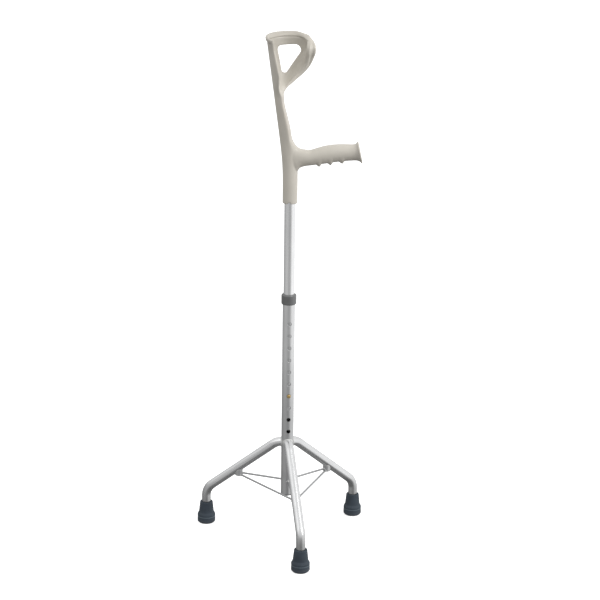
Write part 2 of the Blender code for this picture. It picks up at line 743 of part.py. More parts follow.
def grip_profile():
    """Rings along the grip: reach, top, bottom, half width and finger rib height, in millimetres."""
    ribs = [FIRST_RIB / UNIT + k * RIB_PITCH / UNIT for k in range(3)]
    reaches = [s[0] for s in GRIP_STATIONS if all(abs(s[0] - r) > RIB_WIDTH / UNIT * 0.7 for r in ribs)]
    half = RIB_WIDTH / UNIT / 2
    for r in ribs:
        reaches += [r + half * share for share in (-1, -0.6, -0.25, 0.1, 0.45, 1)]
    rows = []
    for x in sorted(reaches):
        near = min(abs(x - r) for r in ribs) / half
        rib = RIB_HEIGHT / UNIT * math.cos(math.pi / 2 * min(near, 1)) ** 1.3
        rows.append((x, *(float(smooth_curve(x, GRIP_STATIONS, c)) for c in (1, 2, 3)), rib))
    neck = GRIP_NECK / UNIT
    centre = GRIP_END_RISE / UNIT
    wide = GRIP_NECK_RADIUS / UNIT
    rows.append((neck, centre + wide, centre - wide, wide - 0.4, 0.0))
    end = FLANGE_REACH / UNIT
    flange = FLANGE_RADIUS / UNIT
    for share in (0.35, 0.65, 0.85, 1.0):
        r = wide + (flange - wide) * share**2.2
        x = neck + (end - neck) * (1 - (1 - share) ** 1.4)
        rows.append((x, centre + r, centre - r, r, 0.0))
    thick = FLANGE_THICKNESS / UNIT
    rows.append((end + thick * 0.6, centre + flange - 0.3, centre - flange + 0.3, flange - 0.3, 0.0))
    rows.append((end + thick, centre + flange - 1.6, centre - flange + 1.6, flange - 1.6, 0.0))
    return rows


def grip_form(parent):
    """The grip, its finger ribs and end flange, as a loft of upright rings along +X."""
    angles = np.linspace(0, 2 * math.pi, GRIP_SIDES, endpoint=False)
    rings = []
    for x, top, bottom, wide, rib in grip_profile():
        down = np.clip(-np.sin(angles), 0, 1) ** 1.5
        z = (top + bottom) / 2 + (top - bottom) / 2 * np.sin(angles) - rib * down
        y = wide * np.cos(angles)
        lean = math.tan(math.radians(FLANGE_TILT)) * ease(x, GRIP_NECK / UNIT - 30, FLANGE_REACH / UNIT)
        reach = x - lean * (z - (top + bottom) / 2)
        rings.append(np.stack([reach * UNIT, y * UNIT, HANDLE_Z + z * UNIT], axis=1))
    verts = np.concatenate(rings)
    faces = ring_faces(len(rings), GRIP_SIDES)
    faces.append(tuple(range(GRIP_SIDES)))
    faces.append(tuple(range((len(rings) - 1) * GRIP_SIDES, len(rings) * GRIP_SIDES)))
    return mesh_object("grip_form", verts, faces, parent)


def window_form(parent):
    """A cutter through the cuff's far wall with the window's rounded outline."""
    corners = [np.array([x * UNIT, 0, HANDLE_Z + up * UNIT]) for x, up, _ in WINDOW_CORNERS]
    radii = [r * UNIT for _, _, r in WINDOW_CORNERS]
    middle = (corners[-1] + corners[0]) / 2
    loop = rounded_path([middle] + corners + [middle], radii, 4)[:-1]
    far = (CUFF_STATIONS[-1][2] + 20) * UNIT
    near = CUFF_STATIONS[3][2] / 4 * UNIT
    verts = [p + np.array([0, y, 0]) for y in (near, far) for p in loop]
    count = len(loop)
    faces = ring_faces(2, count) + [tuple(range(count)), tuple(range(count, 2 * count))]
    return mesh_object("window_form", verts, faces, parent)


def handle_moulding(parent):
    """The moulded handle: body and grip joined, then bored for the tube, windowed and notched."""
    obj = moulding_body(parent)
    combine(obj, grip_form(parent), "UNION")
    bore = upper_radius() + GAP
    low = HANDLE_Z - SLEEVE_DROP - COLUMN_RADIUS
    high = HANDLE_Z + TUBE_ABOVE_GRIP + GAP
    combine(obj, turned("sleeve_bore", [(0, low), (bore, low), (bore, high), (0, high)], parent))
    combine(obj, window_form(parent))
    notch = empty("notch_place", parent)
    notch.matrix_local = Matrix.Rotation(math.radians(NOTCH_ANGLE), 4, "Z")
    bottom = HANDLE_Z - SLEEVE_DROP
    half = NOTCH_WIDTH / 2
    reach = (upper_radius() / 2, SLEEVE_RADIUS * 1.5)
    high = bottom + NOTCH_HEIGHT
    rim = [(-half, bottom - half), (half, bottom - half), (half, high - half / 2)]
    rim += [(half / 2, high), (-half / 2, high), (-half, high - half / 2)]
    verts = [(x, y, z) for x in reach for y, z in rim]
    faces = ring_faces(2, len(rim)) + [tuple(range(len(rim))), tuple(range(len(rim), 2 * len(rim)))]
    combine(obj, mesh_object("notch_form", verts, faces, notch))
    return obj


def clear_scene():
    """Takes away whatever the scene holds."""
    for obj in list(bpy.data.objects):
        bpy.data.objects.remove(obj, do_unlink=True)


def build():
    """Puts the cane together on its empties."""
    clear_scene()
    base = empty("cane_base", None, (AXIS_X, AXIS_Y, 0))
    slide = empty("height_slide", base)
    press = empty("button_press", slide, (0, 0, button_z()))
    column_tube(base)
    column_plug(base)
    collar(base)
    names = ("front", "right", "left")
    for name, angle, (x, y) in zip(names, leg_angles(), foot_points()):
        leg("leg_" + name, angle, base)
        lug("lug_" + name, angle, base)
        strut("strut_" + name, angle, base)
        ferrule("ferrule_" + name, (x, y, 0), base)
        washer("washer_" + name, (x, y, 0), base)
    front, right, left = leg_angles()
    tie_rod("tie_rod_right", front, right, base)
    tie_rod("tie_rod_left", front, left, base)
    upper_tube(slide)
    button_spring(slide)
    handle_moulding(slide)
    snap_button(press)


build()
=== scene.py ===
"""Looks of a tripod forearm cane: a telescopic tube on three braced legs, with a moulded handle."""
import math

import bmesh
import bpy
import numpy as np
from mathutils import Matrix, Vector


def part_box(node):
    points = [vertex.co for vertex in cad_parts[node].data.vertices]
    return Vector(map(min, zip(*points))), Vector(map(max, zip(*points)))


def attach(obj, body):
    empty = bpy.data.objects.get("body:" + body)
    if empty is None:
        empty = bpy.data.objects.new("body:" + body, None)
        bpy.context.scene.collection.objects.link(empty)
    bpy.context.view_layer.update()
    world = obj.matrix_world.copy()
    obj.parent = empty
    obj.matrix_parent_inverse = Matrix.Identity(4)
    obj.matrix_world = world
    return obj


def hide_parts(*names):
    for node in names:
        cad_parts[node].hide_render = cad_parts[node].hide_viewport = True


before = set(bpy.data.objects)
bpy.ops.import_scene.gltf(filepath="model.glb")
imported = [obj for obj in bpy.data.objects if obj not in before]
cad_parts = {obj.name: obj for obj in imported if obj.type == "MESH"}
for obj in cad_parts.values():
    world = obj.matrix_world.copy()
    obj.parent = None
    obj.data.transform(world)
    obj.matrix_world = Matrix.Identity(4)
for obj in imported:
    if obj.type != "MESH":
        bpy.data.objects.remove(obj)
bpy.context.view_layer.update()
MM = 0.001

# Lower column. A straight aluminium tube, drawn and then satin anodised, with ten button holes
# drilled through the side that faces the front leg. The other tubes share its finish.
COLUMN_RADIUS = 12.5 * MM
COLUMN_WALL = 1.2 * MM
COLUMN_BOTTOM = 93 * MM
COLUMN_TOP = 516 * MM
HOLE_RADIUS = 4.0 * MM
HOLE_PITCH = 25.4 * MM
TOP_HOLE_Z = 460 * MM
HOLE_COUNT = 10
BURR_EASE = 0.3 * MM
FRONT_LEG_ANGLE = math.radians(-80.5)
AXIS = sum(np.array(corner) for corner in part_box("column_tube")) / 2 * [1, 1, 0]
UP = np.array([0, 0, 1.0])


def unit(vectors):
    """Each vector divided by its length."""
    return vectors / np.linalg.norm(vectors, axis=-1, keepdims=True)


def whole_turn(count):
    """Even angles round a full turn."""
    return np.arange(count) * 2 * np.pi / count


def turned(r, z, angles):
    """Points (r cos a, r sin a, z) for each r and z of a profile and each angle a."""
    r, z = np.array(r)[:, None], np.array(z)[:, None]
    return np.stack([r * np.cos(angles), r * np.sin(angles), z + 0 * angles], axis=-1)


def ring_quads(rings, count, closed=False):
    """Corners of the quads between rings: points i and i + 1 of a ring, i + 1 and i of the next."""
    ring = np.arange(rings if closed else rings - 1)[:, None]
    i = np.arange(count)
    j = (i + 1) % count
    low = ring * count
    high = (ring + 1) % rings * count
    return np.stack([low + i, low + j, high + j, high + i], axis=-1).reshape(-1, 4)


def placed(name, data):
    """An object in the scene that holds a mesh, a lamp or a camera."""
    thing = bpy.data.objects.new(name, data)
    bpy.context.scene.collection.objects.link(thing)
    return thing


def solid_piece(name, points, faces, lay=None, crease=45):
    """A closed mesh object from points measured from the column's axis at the floor.

    Points that fall together are merged, and the faces are turned outwards. lay is each point's
    place on the stock as it was drawn, for the finish to read.
    """
    points = points.reshape(-1, 3)
    lay = points if lay is None else lay.reshape(-1, 3)
    mesh = bpy.data.meshes.new(name)
    mesh.from_pydata((points + AXIS).tolist(), [], faces.tolist())
    drawn = mesh.attributes.new("lay", "FLOAT_VECTOR", "POINT")
    drawn.data.foreach_set("vector", np.asarray(lay, np.float32).ravel())
    work = bmesh.new()
    work.from_mesh(mesh)
    bmesh.ops.remove_doubles(work, verts=work.verts, dist=MM / 500)
    bmesh.ops.recalc_face_normals(work, faces=work.faces)
    work.to_mesh(mesh)
    work.free()
    mesh.shade_smooth()
    mesh.set_sharp_from_angle(angle=math.radians(crease))
    return placed(name, mesh)


def coat(piece, finish):
    """Gives a piece or a solid its finish."""
    piece.data.materials.clear()
    piece.data.materials.append(finish)


def fit(piece, body, slot, finish, *nodes):
    """Gives a piece its finish, the body that carries it and the solids it stands for; slot is not
    used.
    """
    coat(piece, finish)
    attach(piece, body)
    if nodes:
        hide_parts(*nodes)
    return piece


def drilled_tube(name, radius, wall, bottom, top, heights):
    """A tube with round holes in a row, its edges eased.

    The closed profile up outside, over, down inside and under is turned about the axis. Round a
    hole, a square of both walls is left out and filled with rings that change evenly from the
    square to the hole. At a hole's edge of radius p, in a wall of radius r, the point at angle t
    lies p cos t across and p sin t up, and asin(p cos t / r) round the tube.
    """
    half = HOLE_RADIUS * 2  # of the square's side
    cells = 12
    span = half / radius
    inner = radius - wall
    angles = np.linspace(-span, span, cells + 1)[:-1]
    angles = np.append(angles, np.linspace(span, 2 * np.pi - span, 45)[:-1])
    levels = [held([(bottom + BURR_EASE, 0), (top - BURR_EASE, 0)])[:, 0]]
    levels += [h + np.linspace(-half, half, cells + 1) for h in heights]
    z = np.unique(np.concatenate(levels))
    over = [radius - BURR_EASE, inner + BURR_EASE]
    r = np.repeat([radius, *over, inner, *over[::-1]], [len(z), 1, 1] * 2)
    z = np.concatenate([z, [top, top], z[::-1], [bottom, bottom]])
    grid = turned(r, z, angles)
    quads = ring_quads(len(r), len(angles), closed=True).reshape(len(r), len(angles), 4)
    middle = (z + np.roll(z, -1)) / 2
    on_wall = np.abs(r - np.roll(r, -1)) < MM / 1000
    pierced = on_wall & (np.abs(middle[:, None] - np.array(heights)) < half).any(axis=1)
    kept = ~(pierced[:, None] & (np.arange(len(angles)) < cells))
    side = np.stack([np.ones(cells), np.linspace(-1, 1, cells + 1)[:-1]], axis=1)
    quarter = np.array([[0, 1], [-1, 0]])
    square = np.concatenate([side, side @ quarter, -side, -side @ quarter])
    turn = np.arctan2(square[:, 1], square[:, 0])
    fading = [1, 0.7, 0.42, 0.2, 0.08]
    shares = np.array([*fading, *[0] * 6, *fading[::-1]])[:, None]
    eased = np.array([0.3, 1]) * BURR_EASE
    depth = [np.full(6, radius), radius - eased, inner + eased[::-1], np.full(6, inner)]
    depth = np.concatenate(depth)[:, None]
    rim = HOLE_RADIUS + BURR_EASE * np.array([1] * 6 + [0.3, 0, 0, 0.3] + [1] * 6)[:, None]
    round_ = shares * square[:, 0] * span + (1 - shares) * np.arcsin(rim * np.cos(turn) / depth)
    rise = shares * square[:, 1] * half + (1 - shares) * rim * np.sin(turn)
    collar_ring = np.stack([depth * np.cos(round_), depth * np.sin(round_), rise], axis=-1)
    holes = np.concatenate([collar_ring + [0, 0, h] for h in heights])
    per_hole = ring_quads(len(shares), len(square))
    first = grid[..., 0].size
    step = len(shares) * len(square)
    hole_quads = [per_hole + first + step * k for k in range(len(heights))]
    points = np.concatenate([grid.reshape(-1, 3), holes.reshape(-1, 3)])
    c, s = math.cos(FRONT_LEG_ANGLE), math.sin(FRONT_LEG_ANGLE)
    points = points @ np.array([[c, s, 0], [-s, c, 0], [0, 0, 1]])
    return solid_piece(name, points, np.concatenate([quads[kept], *hole_quads]))


def held(path, inset=0.3 * MM):
    """A path with a point set in from both ends of long steps, so that rounds shade as rounds."""
    path = np.array(path)
    step = np.diff(path, axis=0)
    length = np.linalg.norm(step, axis=1, keepdims=True)
    share = np.minimum(inset / length, 0.5)
    runs = np.stack([path[:-1], path[:-1] + share * step, path[1:] - share * step], axis=1)
    long = length > 4 * inset
    return np.concatenate([runs[np.concatenate([long | True, long, long], axis=1)], path[-1:]])


def maths(operation, reflected=False):
    """An operator that adds one Math node; a reflected one has the socket second."""

    def operator(term, other):
        pair = (other, term) if reflected else (term, other)
        return term.page.add("ShaderNodeMath", {"operation": operation}, dict(enumerate(pair)))

    return operator


class Term:
    """A socket that becomes Math nodes when it is used in an expression."""

    def __init__(self, page, socket):
        self.page = page
        self.socket = socket

    __add__ = maths("ADD")
    __radd__ = maths("ADD", reflected=True)
    __sub__ = maths("SUBTRACT")
    __rsub__ = maths("SUBTRACT", reflected=True)
    __mul__ = maths("MULTIPLY")
    __rmul__ = maths("MULTIPLY", reflected=True)
    __truediv__ = maths("DIVIDE")
    __pow__ = maths("POWER")

    def step(self, low, high):
        """0 below low, 1 above high and smooth between; low may be the larger."""
        return self.page.add(
            "ShaderNodeMapRange", {"interpolation_type": "SMOOTHSTEP"}, {0: self, 1: low, 2: high}
        )


class Page:
    """The node page of one finish, with its Principled shader, or that of the world."""

    def __init__(self, name, world=None):
        self.finish = world or bpy.data.materials.new(name)
        self.finish.use_nodes = True
        self.tree = self.finish.node_tree
        self.shader = self.tree.nodes.get("Principled BSDF")

    def add(self, kind, settings=None, sockets=None, output=0):
        """Any node, from its type, its settings and the values or links of its sockets."""
        node = self.tree.nodes.new(kind)
        for setting, value in (settings or {}).items():
            setattr(node, setting, value)
        self.join(node, sockets or {})
        return Term(self, node.outputs[output])

    def join(self, node, sockets):
        """Sets a node's sockets to values, or links them to terms."""
        for name, value in sockets.items():
            if isinstance(value, Term):
                self.tree.links.new(value.socket, node.inputs[name])
            else:
                node.inputs[name].default_value = value

    def mix(self, amount, first, second):
        """Two colours mixed by an amount, each a term or its red, green and blue."""
        first, second = (c if isinstance(c, Term) else (*c, 1) for c in (first, second))
        return self.add("ShaderNodeMix", {"data_type": "RGBA"}, {0: amount, 6: first, 7: second}, 2)

    def noise(self, vector, scale, detail=2.0, roughness=0.5):
        """Noise of about 0 to 1 round 0.5, of one scale or of one for each direction."""
        if isinstance(scale, tuple):
            stretch = {0: vector, 1: scale}
            vector = self.add("ShaderNodeVectorMath", {"operation": "MULTIPLY"}, stretch)
            scale = 1.0
        sockets = {"Vector": vector, "Scale": scale, "Detail": detail, "Roughness": roughness}
        return self.add("ShaderNodeTexNoise", {}, sockets)

    def object_place(self):
        """Where a point lies in its object's own coordinates."""
        return self.add("ShaderNodeTexCoord", output="Object")

    def stock_place(self):
        """Where a point lay on the stock as it was drawn."""
        return self.add("ShaderNodeAttribute", {"attribute_name": "lay"}, output="Vector")

    def proud(self):
        """How proud an edge stands: over 0.5 on edges and under it in hollows."""
        return self.add("ShaderNodeNewGeometry", output="Pointiness")

    def moved(self, vector, shift):
        """A vector with a shift added."""
        return self.add("ShaderNodeVectorMath", {"operation": "ADD"}, {0: vector, 1: shift})

    def parts(self, vector):
        """A vector's three numbers."""
        split = self.add("ShaderNodeSeparateXYZ", {}, {0: vector}).socket.node
        return [Term(self, output) for output in split.outputs]

    def finished(self, shade, rough, relief, depth, strength, constants):
        """Joins the shader up; a relief of 1 stands for a depth in metres."""
        bump = {"Height": relief, "Distance": depth, "Strength": strength}
        bump = self.add("ShaderNodeBump", {}, bump)
        sockets = {"Base Color": shade, "Roughness": rough, "Normal": bump}
        self.join(self.shader, {**sockets, **constants})
        return self.finish


def drawn_aluminium(name, grey, shift=0.0, rough=0.27, worn=0.0, low_shade=0.0, spread=(0, 0)):
    """Satin anodised tube, a very little bluer than its grey.

    Hairlines are noise squeezed round the tube and pulled out along the draw. Cloudy patches
    change the gloss a little, and sparse longer lines are the scuffs of use. The darkening below
    the heights of spread is painted shade, for the shade low on the tubes and inside the column.
    """
    page = Page(name)
    tone = grey + np.array([0, 0.005, 0.01])
    place = page.moved(page.stock_place(), (shift,) * 3)
    hair = page.noise(place, (2400, 2400, 18), 3.0, 0.6)
    band = page.noise(place, (420, 420, 5), 1.0)
    cloud = page.noise(place, 34.0, 3.0, 0.6)
    scuff = page.noise(place, (900, 900, 30), 1.0).step(0.70, 0.76)
    rubbed = page.noise(place, 60.0, 2.0).step(0.5, 0.7) * scuff * (0.5 + worn)
    shade = page.mix(hair.step(0.3, 0.7), 0.90 * tone, tone)
    shade = page.mix(cloud.step(0.35, 0.75) * 0.35, shade, 0.837 * tone)
    # Painted shade: the metal is darkened below the heights of spread, low on the column and legs and
    # on the upper tube inside the column.
    if low_shade:
        height = page.parts(page.object_place())[2]
        shade = page.mix(height.step(*spread) * low_shade, shade, 0.5 * tone)
    gloss = rough + (hair - 0.5) * 0.12 + (cloud - 0.5) * 0.10 + rubbed * 0.12
    relief = hair * 0.6 + band * 0.5 - rubbed * 0.5
    return page.finished(shade, gloss, relief, 0.006 * MM, 0.7, {"Metallic": 1.0})


hole_heights = [TOP_HOLE_Z - k * HOLE_PITCH for k in range(HOLE_COUNT)]
column_ends = COLUMN_BOTTOM, COLUMN_TOP
column = drilled_tube("column_drawn", COLUMN_RADIUS, COLUMN_WALL, *column_ends, hole_heights)
# Painted shade darkens the column towards its foot.
column_finish = drawn_aluminium(
    "column_aluminium", 0.76, rough=0.34, worn=0.3, low_shade=0.6, spread=(430 * MM, 230 * MM)
)
fit(column, "base", "tube", column_finish, "column_tube")

# Plug in the column's lower end. A charcoal plastic moulding with a flange as wide as the tube,
# pushed up into the bore, turned here from its half section.
PLUG_FLANGE = 1.8 * MM
PLUG_LENGTH = 12 * MM
PUSH_GAP = 0.3 * MM


def filleted(corners, radii, steps):
    """A path through corners, each inner corner replaced by an arc of its radius.

    The arc's centre lies on the corner's bisector at radius / sin(half angle), and its points are
    the two end spokes mixed by sin((1 - t) swing) and sin(t swing), over sin(swing).
    """
    corners = np.array(corners, float)
    runs = [corners[:1]]
    for before, corner, after, radius in zip(corners, corners[1:], corners[2:], radii):
        back = unit(before - corner)
        ahead = unit(after - corner)
        half = math.acos(np.clip(back @ ahead, -1, 1)) / 2
        centre = corner + unit(back + ahead) * radius / math.sin(half)
        setback = radius / math.tan(half)
        swing = math.pi - 2 * half
        t = np.linspace(0, 1, steps + 1)[:, None] * swing
        spoke = (corner + back * setback - centre) * np.sin(swing - t)
        spoke = spoke + (corner + ahead * setback - centre) * np.sin(t)
        runs.append(centre + spoke / math.sin(swing))
    return np.concatenate([*runs, corners[-1:]])


def turned_piece(name, profile, sides=96, place=(0, 0, 0), frame_of=np.eye(3)):
    """A piece turned about its axis from its half section, in a frame of its own.

    A profile that starts and ends on the axis is closed by its poles, any other by itself.
    """
    r, z = held(profile).T
    lay = turned(r, z, whole_turn(sides))
    solid = r[0] < MM / 1000 and r[-1] < MM / 1000
    faces = ring_quads(len(r), sides, closed=not solid)
    return solid_piece(name, lay @ np.array(frame_of) + np.array(place), faces, lay)


def moulded_plastic(name, dark, light, rough, shine):
    """Injection moulded plastic: a fine sparked grain, soft flow clouds and a little gloss."""
    page = Page(name)
    place = page.object_place()
    fine = page.noise(place, 2600.0, 2.0)
    pitted = page.noise(place, 900.0, 3.0, 0.6)
    cloud = page.noise(place, 26.0, 3.0, 0.55)
    handled = page.noise(place, 70.0, 2.0).step(0.45, 0.75)
    shade = page.mix(cloud.step(0.3, 0.7), dark, light)
    shade = page.mix(pitted.step(0.55, 0.8) * 0.10, shade, 0.8 * np.array(dark))
    gloss = rough + (pitted - 0.5) * 0.10 - handled * 0.06
    relief = fine * 0.5 + pitted
    return page.finished(shade, gloss, relief, 0.012 * MM, 0.8, {"Specular IOR Level": shine})


plug_radius = COLUMN_RADIUS - COLUMN_WALL - PUSH_GAP
plug_face = COLUMN_BOTTOM - PUSH_GAP
plug_foot, plug_top = plug_face - PLUG_FLANGE, plug_face + PLUG_LENGTH
plug_section = [
    (0, plug_foot), (COLUMN_RADIUS, plug_foot), (COLUMN_RADIUS, plug_face),
    (plug_radius, plug_face), (plug_radius, plug_top), (0, plug_top),
]
plug_rounds = np.array([0.9, 0.2, 0.2, 1.0]) * MM
plug = turned_piece("column_plug_moulded", filleted(plug_section, plug_rounds, 6))
charcoal_tones = (0.092, 0.094, 0.095), (0.118, 0.120, 0.122)
charcoal = moulded_plastic("charcoal_plastic", *charcoal_tones, 0.36, 0.95)
fit(plug, "base", "dark_plastic", charcoal, "column_plug")


# Legs. Three thinner aluminium tubes, each bent twice, their top ends coped to the column's
# round and welded to it. The welds are ripples of bright filler laid one over the next.
LEG_RADIUS = 9.5 * MM
LEG_WALL = 1.5 * MM
LEG_JOIN_Z = 204.5 * MM
LEG_ROOT_SLOPE = math.radians(12)
LEG_SLOPE = math.radians(38.8)
LEG_UPPER_CORNER = 24 * MM
LEG_BENDS = (40 * MM, 34 * MM)
FOOT_REACH = 181 * MM
LEG_FOOT_Z = 12.1 * MM
SUNK = 0.6 * MM
LEG_WELD = (1.6 * MM, 1.9 * MM)
legs = list(zip(("front", "right", "left"), FRONT_LEG_ANGLE + whole_turn(3)))


def outward(angle, reach, z):
    """A point at a distance from the column's axis in a direction."""
    return np.array([reach * math.cos(angle), reach * math.sin(angle), z])


def leg_line(angle):
    """Corners of a leg's centre line: column axis, upper bend, lower bend and foot."""
    upper_z = LEG_JOIN_Z - (LEG_UPPER_CORNER - COLUMN_RADIUS) * math.tan(LEG_ROOT_SLOPE)
    return [
        outward(angle, 0, upper_z + LEG_UPPER_CORNER * math.tan(LEG_ROOT_SLOPE)),
        outward(angle, LEG_UPPER_CORNER, upper_z),
        outward(angle, FOOT_REACH, upper_z - (FOOT_REACH - LEG_UPPER_CORNER) * math.tan(LEG_SLOPE)),
        outward(angle, FOOT_REACH, LEG_FOOT_Z),
    ]


def sweep_rings(path, across, radius, sides):
    """Round rings square to a flat path, and each point's place along and round the tube."""
    steps = unit(np.diff(path, axis=0))
    tangents = unit(np.concatenate([steps[:1], steps[:-1] + steps[1:], steps[-1:]]))
    out = np.cross(tangents, across)
    a = whole_turn(sides)
    spoke = np.cos(a)[:, None] * across + np.sin(a)[:, None] * out[:, None]
    run = np.concatenate([[0], np.cumsum(np.linalg.norm(np.diff(path, axis=0), axis=1))])
    return path[:, None] + radius * spoke, turned(radius + 0 * run, run, a)


def carried_to_post(points, direction, post, along, radius):
    """Points carried along a direction until they lie on a round post.

    With everything taken square to the post's axis, w the point from the axis and d the direction,
    |w + t d| = R gives t = (-w.d + sqrt((w.d)^2 - d.d (w.w - R^2))) / d.d. A line that misses the
    post stops where it passes nearest.
    """
    along = unit(along)
    w = points - post
    w = w - (w @ along)[..., None] * along
    d = direction - (direction @ along) * along
    wd = w @ d
    dd = d @ d
    t = (-wd + np.sqrt(np.maximum(wd**2 - dd * ((w**2).sum(axis=-1) - radius**2), 0))) / dd
    return points + t[..., None] * direction, unit(w + t[..., None] * d)


def leg_piece(name, angle, sides=56):
    """A leg: outer and inner rings swept along its filleted line, the first coped to the column.

    The line's second point lies inside the column, so it is left out.
    """
    path = held(filleted(leg_line(angle), LEG_BENDS, 18), 1 * MM)
    path = np.delete(path, 1, axis=0)
    across = outward(angle + math.pi / 2, 1, 0)
    start = unit(path[1] - path[0])
    walls = []
    for radius in (LEG_RADIUS, LEG_RADIUS - LEG_WALL):
        rings, lay = sweep_rings(path, across, radius, sides)
        rings[0] = carried_to_post(rings[0], start, (0, 0, 0), UP, COLUMN_RADIUS)[0]
        walls.append(np.stack([rings, lay]))
    rings, lay = np.concatenate([walls[0], walls[1][:, ::-1]], axis=1)
    return solid_piece(name, rings, ring_quads(len(rings), sides, closed=True), lay)


def weld(name, middle, direction, bar_radius, along, post_radius, size, pitch):
    """A weld of one size and ripple pitch round the line where a bar meets a post.

    The bar's axis and the post's cross at the middle. Each point of the bar's edge is carried to
    the post. A round section leans out of the corner between the two there, and its radius swells
    with 1 + 0.16 cos(k b - 1.2 cos a), a the angle round the section, b the angle round the bar:
    one crescent for each of its k ripples. Points that lie too deep in the post are pushed out to
    just under its surface.
    """
    direction = unit(direction)
    along = unit(along)
    side = unit(np.cross(direction, along))
    up = np.cross(side, direction)
    ripples = max(6, round(2 * math.pi * bar_radius / pitch))
    b = whole_turn(ripples * 7)
    spoke = np.cos(b)[:, None] * side + np.sin(b)[:, None] * up
    edge = middle + bar_radius * spoke
    line, post_out = carried_to_post(edge, direction, middle, along, post_radius)
    run = unit(np.roll(line, -1, axis=0) - np.roll(line, 1, axis=0))
    lean = unit(spoke + post_out)
    lean = unit(lean - (lean * run).sum(axis=1, keepdims=True) * run)
    flat = np.cross(run, lean)
    a = whole_turn(16)
    wobble = 1 + 0.07 * np.sin(3 * b + 1.3) + 0.05 * np.sin(7 * b + 0.4)
    swell = size * wobble[:, None] * (1 + 0.16 * np.cos(ripples * b[:, None] - 1.2 * np.cos(a)))
    points = line[:, None] + swell[..., None] * (
        0.72 * np.cos(a)[:, None] * lean[:, None] + np.sin(a)[:, None] * flat[:, None]
    )
    w = points - middle
    w = w - (w @ along)[..., None] * along
    too_deep = post_radius - SUNK - np.linalg.norm(w, axis=-1, keepdims=True)
    points = points + unit(w) * np.maximum(too_deep, 0)
    bead = solid_piece(name, points, ring_quads(len(b), len(a), closed=True), crease=180)
    fit(bead, "base", "brace", filler)


def weld_metal(name):
    """Bright aluminium filler, duller between its ripples, with a trace of grey soot."""
    page = Page(name)
    place = page.object_place()
    grain = page.noise(place, 1500.0, 3.0, 0.6)
    soot = page.noise(place, 160.0, 3.0).step(0.45, 0.75)
    shade = page.mix(page.proud().step(0.44, 0.54), (0.50, 0.50, 0.49), (0.74, 0.74, 0.73))
    shade = page.mix(soot * 0.4, shade, (0.42, 0.42, 0.41))
    gloss = 0.34 + grain * 0.16 + soot * 0.1
    return page.finished(shade, gloss, grain, 0.02 * MM, 0.8, {"Metallic": 1.0})


filler = weld_metal("weld_filler")
for k, (side, angle) in enumerate(legs):
    leg = leg_piece(f"leg_{side}_bent", angle)
    # Painted shade darkens each leg towards its foot.
    tube_finish = drawn_aluminium(
        f"leg_{side}_aluminium", 0.77, 0.7 + 0.31 * k, low_shade=1.0, spread=(100 * MM, 48 * MM)
    )
    fit(leg, "base", "tube", tube_finish, f"leg_{side}")
    axis, bend = leg_line(angle)[:2]
    weld(f"weld_leg_{side}", axis, bend - axis, LEG_RADIUS, UP, COLUMN_RADIUS, *LEG_WELD)


# Lugs, struts and tie rods. A short round boss is welded under each leg. A level strut runs from
# it to the column, and two tie rods run from the front lug to the others, all of 4 mm bar.
LUG_REACH = 107 * MM
LUG_RADIUS = 8.0 * MM
LUG_DROP = 19.3 * MM
ROD_RADIUS = 2.0 * MM
STRUT_DROP = 13.3 * MM
TIE_DROP = 16.8 * MM
LUG_WELD = (1.1 * MM, 1.5 * MM)
ROD_WELD = (0.8 * MM, 1.1 * MM)


def over_lug(angle):
    """The point of a leg's centre line that is over its lug."""
    upper, lower = leg_line(angle)[1:3]
    share = (LUG_REACH - LEG_UPPER_CORNER) / (FOOT_REACH - LEG_UPPER_CORNER)
    return upper + (lower - upper) * share


def lug_piece(name, top, along, sides=72):
    """A lug: a turned foot and wall, and over them a saddle of discs carried up to the leg."""
    floor = top * [1, 1, 0]
    a = whole_turn(sides)
    foot_z = top[2] - LUG_DROP
    edge = [(0, foot_z), (LUG_RADIUS, foot_z), (LUG_RADIUS, foot_z + 3 * MM)]
    wall = floor + turned(*filleted(edge, [0.9 * MM], 6).T, a)
    shares = np.linspace(1, 0, 8)
    discs = floor + turned(LUG_RADIUS * shares, 0 * shares, a)
    saddle = carried_to_post(discs, -UP, top, along, LEG_RADIUS - SUNK)[0]
    points = np.concatenate([wall, saddle])
    return solid_piece(name, points, ring_quads(len(points), sides), points - floor)


def rod_piece(name, start, end, sides=28):
    """A straight round bar between two points, its ends eased."""
    run = unit(end - start)
    across = unit(np.cross(run, UP))
    out = np.cross(run, across)
    length = np.linalg.norm(end - start)
    edge = [(0, 0), (ROD_RADIUS, 0), (ROD_RADIUS, length), (0, length)]
    edge = held(filleted(edge, [0.3 * MM] * 2, 3))
    a = whole_turn(sides)
    spoke = np.cos(a)[:, None] * across + np.sin(a)[:, None] * out
    points = start + edge[:, 1, None, None] * run + edge[:, :1, None] * spoke
    return solid_piece(name, points, ring_quads(len(points), sides), turned(*edge.T, a))


bar_finish = drawn_aluminium("bar_aluminium", 0.44, 2.4, 0.42)
lug_finish = drawn_aluminium("lug_aluminium", 0.56, 3.1, 0.36)
for side, angle in legs:
    top = over_lug(angle)
    along = leg_line(angle)[2] - leg_line(angle)[1]
    lug = lug_piece(f"lug_{side}_boss", top, along)
    fit(lug, "base", "brace", lug_finish, f"lug_{side}")
    weld(f"weld_lug_{side}", top, -UP, LUG_RADIUS - 0.4 * MM, along, LEG_RADIUS, *LUG_WELD)
    height = top[2] - STRUT_DROP
    inner = outward(angle, COLUMN_RADIUS - SUNK, height)
    outer = outward(angle, LUG_REACH - LUG_RADIUS + SUNK, height)
    strut = rod_piece(f"strut_{side}_bar", inner, outer)
    fit(strut, "base", "brace", bar_finish, f"strut_{side}")
    for end_name, reach, radius, way in (
        ("column", 0, COLUMN_RADIUS, 1), ("lug", LUG_REACH, LUG_RADIUS, -1)
    ):
        post = outward(angle, reach, height)
        weld(f"weld_strut_{side}_{end_name}", post, way * outward(angle, 1, 0), ROD_RADIUS,
             UP, radius, *ROD_WELD)

